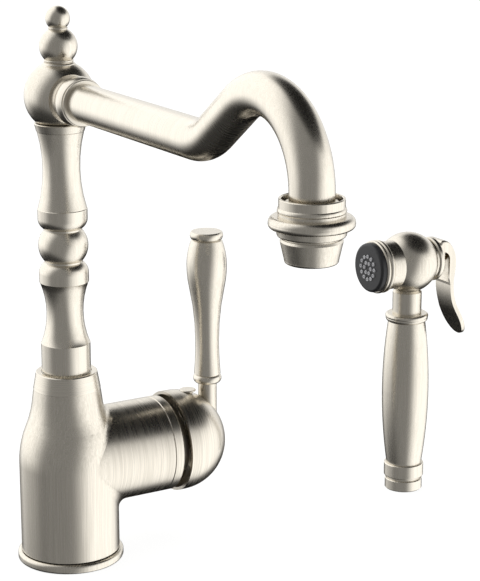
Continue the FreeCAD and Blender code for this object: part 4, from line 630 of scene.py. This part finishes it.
def rim_sleeve():
    """A thin skin over the top of the body's cone, with the seam under its turned rim and
    a hole where the screw goes in."""
    inside, rim_top, rim_shoulder = 14.6, 15.53, 15.95
    foot, ledge = RIM_TOP - 24.7, RIM_TOP - 13.9
    cone_foot, cone_ledge, cone_sag = 20.19, 18.09, -0.27
    seam, seam_lip, seam_height = 17.42, 17.5, 0.1
    sleeve = turned("turned_body_rim", [
        (inside, foot), (cone_foot, foot), (cone_ledge, ledge, cone_sag), (seam, RIM_SEAM),
        (seam_lip, RIM_SEAM + seam_height), (rim_shoulder, RIM_TOP - EDGE),
        (rim_top, RIM_TOP), (inside, RIM_TOP - 0.1)])
    low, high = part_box("column_retaining_screw")
    middle = (low + high) / 2
    drill = turned("drill_for_screw", [(0, 0), (SCREW, 0), (SCREW, 12), (0, 12)],
                   (0, middle.y / MM, middle.z / MM), TO_THE_BACK)
    cut = sleeve.modifiers.new("screw_hole", "BOOLEAN")
    cut.operation = "DIFFERENCE"
    cut.object = drill
    settled = sleeve.evaluated_get(bpy.context.evaluated_depsgraph_get())
    mesh = bpy.data.meshes.new_from_object(settled)
    sleeve.modifiers.clear()
    sleeve.data = mesh
    bpy.data.objects.remove(drill)
    return sleeve


def bonnet():
    """The ring at the branch's mouth, its edge broken where it meets the branch."""
    low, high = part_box("bonnet_ring")
    outer, inner = high.y / MM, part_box("cartridge_nut")[1].y / MM
    start, end = low.x / MM, high.x / MM
    middle = (0, 0, (low.z + high.z) / 2 / MM)
    gap, gap_width, bevel, rounding = 0.5, 0.35, 0.3, 1.2
    return turned("turned_bonnet_ring", [
        (inner, start), (outer - gap, start), (outer - gap, start + gap_width),
        (outer - bevel, start + gap_width), (outer, start + gap_width + bevel),
        (outer, end - rounding), (outer - rounding, end, "from_axial"), (inner, end)],
        middle, ALONG_BRANCH)


def retaining_screw():
    """The brass screw in the back of the body, with a hex key's recess in its head."""
    low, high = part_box("column_retaining_screw")
    middle = (0, 0, (low.z + high.z) / 2 / MM)
    tip, head = low.y / MM, high.y / MM
    point, point_length, bevel = 1.9, 1.2, 0.25
    key, key_depth, drill_depth = 1.25, 2.3, 2.8
    return turned("keyed_retaining_screw", [
        (0, tip), (point, tip), (SCREW, tip + point_length), (SCREW, head - bevel),
        (SCREW - bevel, head), (key, head), (key, head - key_depth), (0, head - drill_depth)],
        middle, TO_THE_BACK, hexagon=(key,))


def hinge_plugs():
    """Two flush plugs that close the hinge pin's bore in the trigger's cheeks."""
    low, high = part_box("spray_hinge_pin")
    middle = (low + high) / 2 / MM
    pin, cheek, depth, crown = 1.25, 7.1, 0.2, 0.02
    return [turned(name, [(0, cheek - depth), (pin, cheek - depth), (pin, cheek),
                          (0, cheek + crown)], middle, Vector((0, side, 0)))
            for name, side in (("hinge_plug_front", -1), ("hinge_plug_back", 1))]


grip, knob = lever_grip_and_knob()
fit(upright(), "spout", "nickel", satin_nickel, "column")
fit(crown_finial(), "spout", "nickel", upright_nickel, "finial")
fit(tube_socket(), "spout", "nickel", collar_nickel, "socket_collar")
fit(grip, "handle", "nickel", satin_nickel, "lever_grip")
fit(knob, "handle", "nickel", satin_nickel, "lever_knob")
fit(foot_ring(), "faucet_body", "nickel", upright_nickel, "base_ring")
fit(rim_sleeve(), "faucet_body", "nickel", casting_nickel)
fit(bonnet(), "faucet_body", "nickel", ringed_nickel, "bonnet_ring")
for plug in hinge_plugs():
    fit(plug, "spray_trigger", "nickel", upright_nickel)
fit(retaining_screw(), "faucet_body", "brass", nut_brass, "column_retaining_screw")


# ---- what repeats ----------------------------------------------------------------

class Growth(Board):
    """A Geometry Nodes tree with its named sizes, ending in one material."""

    def __init__(self, name, sizes):
        tree = bpy.data.node_groups.new(name, "GeometryNodeTree")
        super().__init__(tree)
        for label, size in sizes.items():
            kind = {int: "NodeSocketInt", float: "NodeSocketFloat"}.get(type(size))
            socket = tree.interface.new_socket(label, in_out="INPUT",
                                               socket_type=kind or "NodeSocketVector")
            socket.default_value = size
        tree.interface.new_socket("Geometry", in_out="OUTPUT", socket_type="NodeSocketGeometry")
        entry = tree.nodes.new("NodeGroupInput")
        self.size = {label: Wire(self, entry.outputs[label]) for label in sizes}

    def pushed(self, mesh, faces, out, narrower):
        """Extrudes faces by out and scales the new ones; gives the mesh and those faces."""
        mesh, top = self.several("GeometryNodeExtrudeMesh", {"mode": "FACES"},
                                 {"Mesh": mesh, "Selection": faces, "Offset Scale": out},
                                 ("Mesh", "Top"))
        mesh = self.add("GeometryNodeScaleElements", {"domain": "FACE"},
                        {"Geometry": mesh, "Selection": top, "Scale": narrower})
        return mesh, top

    def swept(self, path, radius, sides):
        """A round or many-sided rod along a curve, closed at its ends."""
        ring = self.add("GeometryNodeCurvePrimitiveCircle", {"mode": "RADIUS"},
                        {"Resolution": sides, "Radius": radius})
        return self.add("GeometryNodeCurveToMesh", {},
                        {"Curve": path, "Profile Curve": ring, "Fill Caps": True})

    def moved(self, shape, place, turn):
        return self.add("GeometryNodeTransform", {},
                        {"Geometry": shape, "Translation": place, "Rotation": turn})

    def joined(self, *shapes):
        join = self.tree.nodes.new("GeometryNodeJoinGeometry")
        for shape in shapes:
            self.tree.links.new(shape.socket, join.inputs[0])
        return Wire(self, join.outputs[0])

    def finish(self, shape, material):
        real = self.add("GeometryNodeRealizeInstances", {}, {"Geometry": shape})
        coated = self.add("GeometryNodeSetMaterial", {}, {"Geometry": real, "Material": material})
        self.add("NodeGroupOutput", {}, {"Geometry": coated})
        return self.tree


def grown(name, tree, plantings):
    """Runs a tree once for each set of sizes and keeps the results as one plain mesh."""
    whole = bmesh.new()
    for sizes in plantings:
        carrier = bpy.data.objects.new(name, bpy.data.meshes.new(name + "_start"))
        bpy.context.scene.collection.objects.link(carrier)
        modifier = carrier.modifiers.new("growth", "NODES")
        modifier.node_group = tree
        for socket in tree.interface.items_tree:
            if socket.in_out == "INPUT" and socket.name in sizes:
                modifier[socket.identifier] = sizes[socket.name]
        settled = carrier.evaluated_get(bpy.context.evaluated_depsgraph_get())
        result = bpy.data.meshes.new_from_object(settled)
        whole.from_mesh(result)
        carrier.modifiers.clear()
        bpy.data.objects.remove(carrier)
        bpy.data.meshes.remove(result)
    bmesh.ops.recalc_face_normals(whole, faces=whole.faces)
    return finished_piece(name, whole)


NUB_RADIUS = 1.1 * MM
NUB_HEIGHT = 1.5 * MM
NUB_SIDES = 20
# A nub's rounded lip and its dimple: how far each step rises, in nub heights, and how much
# it narrows.
NUB_STEPS = ((0.10, 0.90), (0.04, 0.86), (-0.04, 0.42), (-0.20, 0.70))
NUB_STANDS_OUT = 0.64
THREAD_FILL = 0.46
THREAD_START = 0.9 * MM
WIRE_POINTS = 61
HOOP_POINTS = 64
HOOP_THICKER = 1.4


def nozzle_tree():
    """A ring of soft nubs, each with a rounded lip and a dimple for its jet."""
    growth = Growth("nozzle_ring", {"Count": 12, "Ring Radius": 6.45 * MM,
                                    "Nub Radius": NUB_RADIUS, "Nub Height": NUB_HEIGHT,
                                    "Spin": 0.0, "Place": (0, 0, 0), "Turn": (0, 0, 0)})
    size = growth.size
    ring = growth.add("GeometryNodeMeshCircle", {"fill_type": "NONE"},
                      {"Vertices": size["Count"], "Radius": size["Ring Radius"]})
    nub, top = growth.several("GeometryNodeMeshCylinder", {"fill_type": "NGON"},
                              {"Vertices": NUB_SIDES, "Radius": size["Nub Radius"],
                               "Depth": size["Nub Height"]}, ("Mesh", "Top"))
    for out, narrower in NUB_STEPS:
        nub, top = growth.pushed(nub, top, size["Nub Height"] * out, narrower)
    nubs = growth.add("GeometryNodeInstanceOnPoints", {}, {"Points": ring, "Instance": nub})
    spun = growth.moved(nubs, (0, 0, 0), growth.join_xyz(0.0, 0.0, size["Spin"]))
    return growth.finish(growth.moved(spun, size["Place"], size["Turn"]), nozzle_grey)


def thread_tree(material):
    """The turns of a female thread, wound up the wall of its hole."""
    growth = Growth("thread_turns", {"Hole Radius": 4.5 * MM, "Depth": 12.0 * MM,
                                     "Pitch": 1.25 * MM, "Place": (0, 0, 0)})
    size = growth.size
    wind = growth.add("GeometryNodeCurveSpiral", {},
                      {"Resolution": 40, "Rotations": size["Depth"] / size["Pitch"],
                       "Start Radius": size["Hole Radius"], "End Radius": size["Hole Radius"],
                       "Height": size["Depth"]})
    level = growth.add("GeometryNodeSetCurveNormal", {"mode": "Z_UP"}, {"Curve": wind})
    turns = growth.swept(level, size["Pitch"] * THREAD_FILL, 4)
    return growth.finish(growth.moved(turns, size["Place"], (0, 0, 0)), material)


def weave_tree():
    """A round wire screen: wires over and under each other inside a rim wire."""
    growth = Growth("wire_weave", {"Screen Radius": 9.0 * MM, "Wires": 15, "Spacing": 1.2 * MM,
                                   "Wire Radius": 0.17 * MM, "Place": (0, 0, 0)})
    size = growth.size
    reach = size["Spacing"] * (size["Wires"] - 1) * 0.5
    rail = growth.add("GeometryNodeMeshLine", {"mode": "END_POINTS"},
                      {"Count": size["Wires"],
                       "Start Location": growth.join_xyz(0.0, -reach, 0.0),
                       "Offset": growth.join_xyz(0.0, reach, 0.0)})
    across = growth.several("ShaderNodeSeparateXYZ", {},
                            {0: growth.add("GeometryNodeInputPosition")}, "XYZ")[1]
    half = (size["Screen Radius"] * size["Screen Radius"] - across * across).at_least(0.0).root()
    wire = growth.add("GeometryNodeCurvePrimitiveLine", {},
                      {"Start": (-1.0, 0.0, 0.0), "End": (1.0, 0.0, 0.0)})
    fine = growth.add("GeometryNodeResampleCurve", {}, {"Curve": wire, "Count": WIRE_POINTS})
    wires = growth.add("GeometryNodeInstanceOnPoints", {},
                       {"Points": rail, "Instance": fine,
                        "Scale": growth.join_xyz(half, 1.0, 1.0)})
    real = growth.add("GeometryNodeRealizeInstances", {}, {"Geometry": wires})
    x, y, _ = growth.several("ShaderNodeSeparateXYZ", {},
                             {0: growth.add("GeometryNodeInputPosition")}, "XYZ")
    wave = (x / size["Spacing"] * math.pi).cosine() * (y / size["Spacing"] * math.pi).cosine()
    woven = growth.add("GeometryNodeSetPosition", {},
                       {"Geometry": real,
                        "Offset": growth.join_xyz(0.0, 0.0, wave * size["Wire Radius"])})
    one_way = growth.swept(woven, size["Wire Radius"], 6)
    other_way = growth.moved(one_way, (0, 0, 0), (math.pi, 0, math.pi / 2))
    hoop = growth.add("GeometryNodeCurvePrimitiveCircle", {"mode": "RADIUS"},
                      {"Resolution": HOOP_POINTS, "Radius": size["Screen Radius"]})
    rim = growth.swept(hoop, size["Wire Radius"] * HOOP_THICKER, 8)
    screen = growth.joined(one_way, other_way, rim)
    return growth.finish(growth.moved(screen, size["Place"], (0, 0, 0)), bare_steel)


def spray_nozzles():
    """Both rings of nozzles on the spray's face, which looks along -X."""
    low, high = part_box("spray_nozzles_outer")
    middle = (low.x + NUB_HEIGHT * NUB_STANDS_OUT, (low.y + high.y) / 2, (low.z + high.z) / 2)
    to_the_front = (0, -math.pi / 2, 0)
    half_step = math.radians(30)
    tree = nozzle_tree()
    for name, node, count, radius, spin in (
            ("nozzle_nubs_outer", "spray_nozzles_outer", 12, 6.45 * MM, 0.0),
            ("nozzle_nubs_inner", "spray_nozzles_inner", 6, 3.05 * MM, half_step)):
        nubs = grown(name, tree, [{"Count": count, "Ring Radius": radius, "Spin": spin,
                                   "Place": middle, "Turn": to_the_front}])
        fit(nubs, "hand_spray", "nozzle_rubber", nozzle_grey, node)


def hole_threads():
    """Thread turns in the body's holes for hoses and stud, and in the spray's nut."""
    depth = 12 * MM
    hose, stud = 4.5, 3.4
    holes = [(10, 9.5, hose), (10, -9.5, hose), (-9, 0, hose), (-8, -14, stud)]
    below = grown("hose_and_stud_threads", thread_tree(casting_nickel), [
        {"Hole Radius": radius * MM, "Depth": depth, "Place": (x * MM, y * MM, THREAD_START)}
        for x, y, radius in holes])
    fit(below, "faucet_body", "nickel", casting_nickel)
    low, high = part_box("spray_hose_nut")
    nut = grown("hose_nut_thread", thread_tree(satin_nickel), [
        {"Hole Radius": 6.3 * MM, "Depth": 4.4 * MM,
         "Place": ((low.x + high.x) / 2, (low.y + high.y) / 2, THREAD_START)}])
    fit(nut, "hand_spray", "nickel", satin_nickel)


def outlet_screen():
    """The woven screen in the spout's end."""
    low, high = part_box("aerator_screen")
    middle = tuple((low + high) / 2)
    screen = grown("woven_outlet_screen", weave_tree(), [{"Place": middle}])
    fit(screen, "spout", "screen_mesh", bare_steel, "aerator_screen")


spray_nozzles()
hole_threads()
outlet_screen()


# ---- studio ----------------------------------------------------------------------

CAMERA_PLACE = Vector((-414.97, -878.16, 403.57)) * MM
CAMERA_RIGHT = Vector((0.86038, -0.50965, -0.00133))
CAMERA_UP = Vector((0.13257, 0.22127, 0.96616))
CAMERA_BACK = Vector((-0.49211, -0.83144, 0.25794))
CAMERA_LENS = 120.71
FILM_LONG_SIDE = 36.0
NEAR_CLIP, FAR_CLIP = 0.05, 40.0
FLOOR_RADIUS = 6.0
FLOOR_PALE = (0.97, 0.97, 0.965, 1)
FLOOR_GLOW = 0.93
FLOOR_LIT = 0.10
BACKDROP_RADIUS = 9.0
BACKDROP_PALE = (0.93, 0.93, 0.93, 1)
BACKDROP_GLOW = 0.96
STAGE_WORN = 0.985
LAMP_PLACE = (0.1, -0.1, 3.0)
LAMP_WIDTH = 5.0
LAMP_WATTS = 150.0


def studio_camera():
    """The camera, slightly from the left and above."""
    data = bpy.data.cameras.new("studio_camera")
    data.lens = CAMERA_LENS
    data.sensor_width = FILM_LONG_SIDE
    data.clip_start = NEAR_CLIP
    data.clip_end = FAR_CLIP
    camera = bpy.data.objects.new("studio_camera", data)
    bpy.context.scene.collection.objects.link(camera)
    turn = Matrix((CAMERA_RIGHT, CAMERA_UP, CAMERA_BACK)).transposed()
    camera.matrix_world = Matrix.Translation(CAMERA_PLACE) @ turn.to_4x4()
    bpy.context.scene.camera = camera


def toward(around, above):
    """A direction: degrees round to the camera's right, and degrees above the deck."""
    level = Vector((CAMERA_BACK.x, CAMERA_BACK.y, 0)).normalized()
    side = Vector((CAMERA_RIGHT.x, CAMERA_RIGHT.y, 0)).normalized()
    turn, lift = math.radians(around), math.radians(above)
    flat = level * math.cos(turn) + side * math.sin(turn)
    return flat * math.cos(lift) + Vector((0, 0, math.sin(lift)))


ROOM_LEVEL = 0.265
# Degrees to the camera's right and above the deck, the cosines between which a soft box
# fades in, and how bright it is.
SOFT_BOXES = (
    (-128, 20, 0.22, 0.90, 1.46),
    (95, -20, 0.22, 0.94, 1.52),
    (165, 12, 0.86, 0.97, 1.10),
    (100, 62, 0.70, 0.88, 0.01),
    (148, 54, 0.80, 0.94, 0.01),
    (-105, -62, 0.55, 0.90, 0.04),
    (180, -42, 0.68, 0.88, 0.0),
)


def studio_light():
    """The soft boxes and their dark gaps, painted on the surroundings of a dim room."""
    world = bpy.data.worlds.new("studio")
    bpy.context.scene.world = world
    world.use_nodes = True
    board = Board(world.node_tree)
    way = board.add("ShaderNodeTexCoord", {}, {}, output="Generated")

    def facing(around, above):
        return board.add("ShaderNodeVectorMath", {"operation": "DOT_PRODUCT"},
                         {0: way, 1: toward(around, above)}, output="Value")
    level = ROOM_LEVEL
    for around, above, edge, heart, shine in SOFT_BOXES:
        inside = facing(around, above).ramp(edge, heart)
        level = level + inside * (shine - level)
    shade = board.add("ShaderNodeBackground", {}, {"Color": (1, 1, 1, 1), "Strength": level})
    board.add("ShaderNodeOutputWorld", {}, {"Surface": shade})


def overhead_lamp():
    """A wide soft lamp over the deck; it lights the floor but doesn't show in the metal."""
    data = bpy.data.lights.new("overhead_lamp", "AREA")
    data.shape = "DISK"
    data.size = LAMP_WIDTH
    data.energy = LAMP_WATTS
    lamp = bpy.data.objects.new("overhead_lamp", data)
    lamp.location = LAMP_PLACE
    lamp.visible_glossy = False
    bpy.context.scene.collection.objects.link(lamp)


def glowing(name, colour, glow, lit=1.0):
    """A pale stage surface: mostly its own light, and as much of the lamp's as lit says."""
    board = Finish(name)
    grain = board.noise(board.x * 3, board.y * 3, board.z * 3)
    tone, worn = (tuple(part * share for part in colour[:3]) + (1.0,)
                  for share in (lit, lit * STAGE_WORN))
    return board.surface(board.blend_colours(grain, tone, worn), 0.8,
                         emission_color=colour, emission_strength=glow)


def studio_floor():
    """The pale floor, and a backdrop round it that neither lights nor shows in the metal."""
    floor_mesh = bpy.data.meshes.new("studio_floor")
    disc = bmesh.new()
    bmesh.ops.create_circle(disc, cap_ends=True, segments=96, radius=FLOOR_RADIUS)
    disc.to_mesh(floor_mesh)
    floor = bpy.data.objects.new("studio_floor", floor_mesh)
    floor_mesh.materials.append(glowing("pale_floor", FLOOR_PALE, FLOOR_GLOW, FLOOR_LIT))
    floor.visible_glossy = False
    wall_mesh = bpy.data.meshes.new("studio_backdrop")
    ball = bmesh.new()
    bmesh.ops.create_icosphere(ball, subdivisions=4, radius=BACKDROP_RADIUS)
    bmesh.ops.reverse_faces(ball, faces=ball.faces)
    ball.to_mesh(wall_mesh)
    wall = bpy.data.objects.new("studio_backdrop", wall_mesh)
    wall_mesh.materials.append(glowing("pale_backdrop", BACKDROP_PALE, BACKDROP_GLOW))
    for flag in ("visible_glossy", "visible_diffuse", "visible_shadow", "visible_transmission"):
        setattr(wall, flag, False)
    for stage in (floor, wall):
        bpy.context.scene.collection.objects.link(stage)


studio_camera()
studio_light()
overhead_lamp()
studio_floor()
bpy.context.scene.view_settings.view_transform = "Standard"
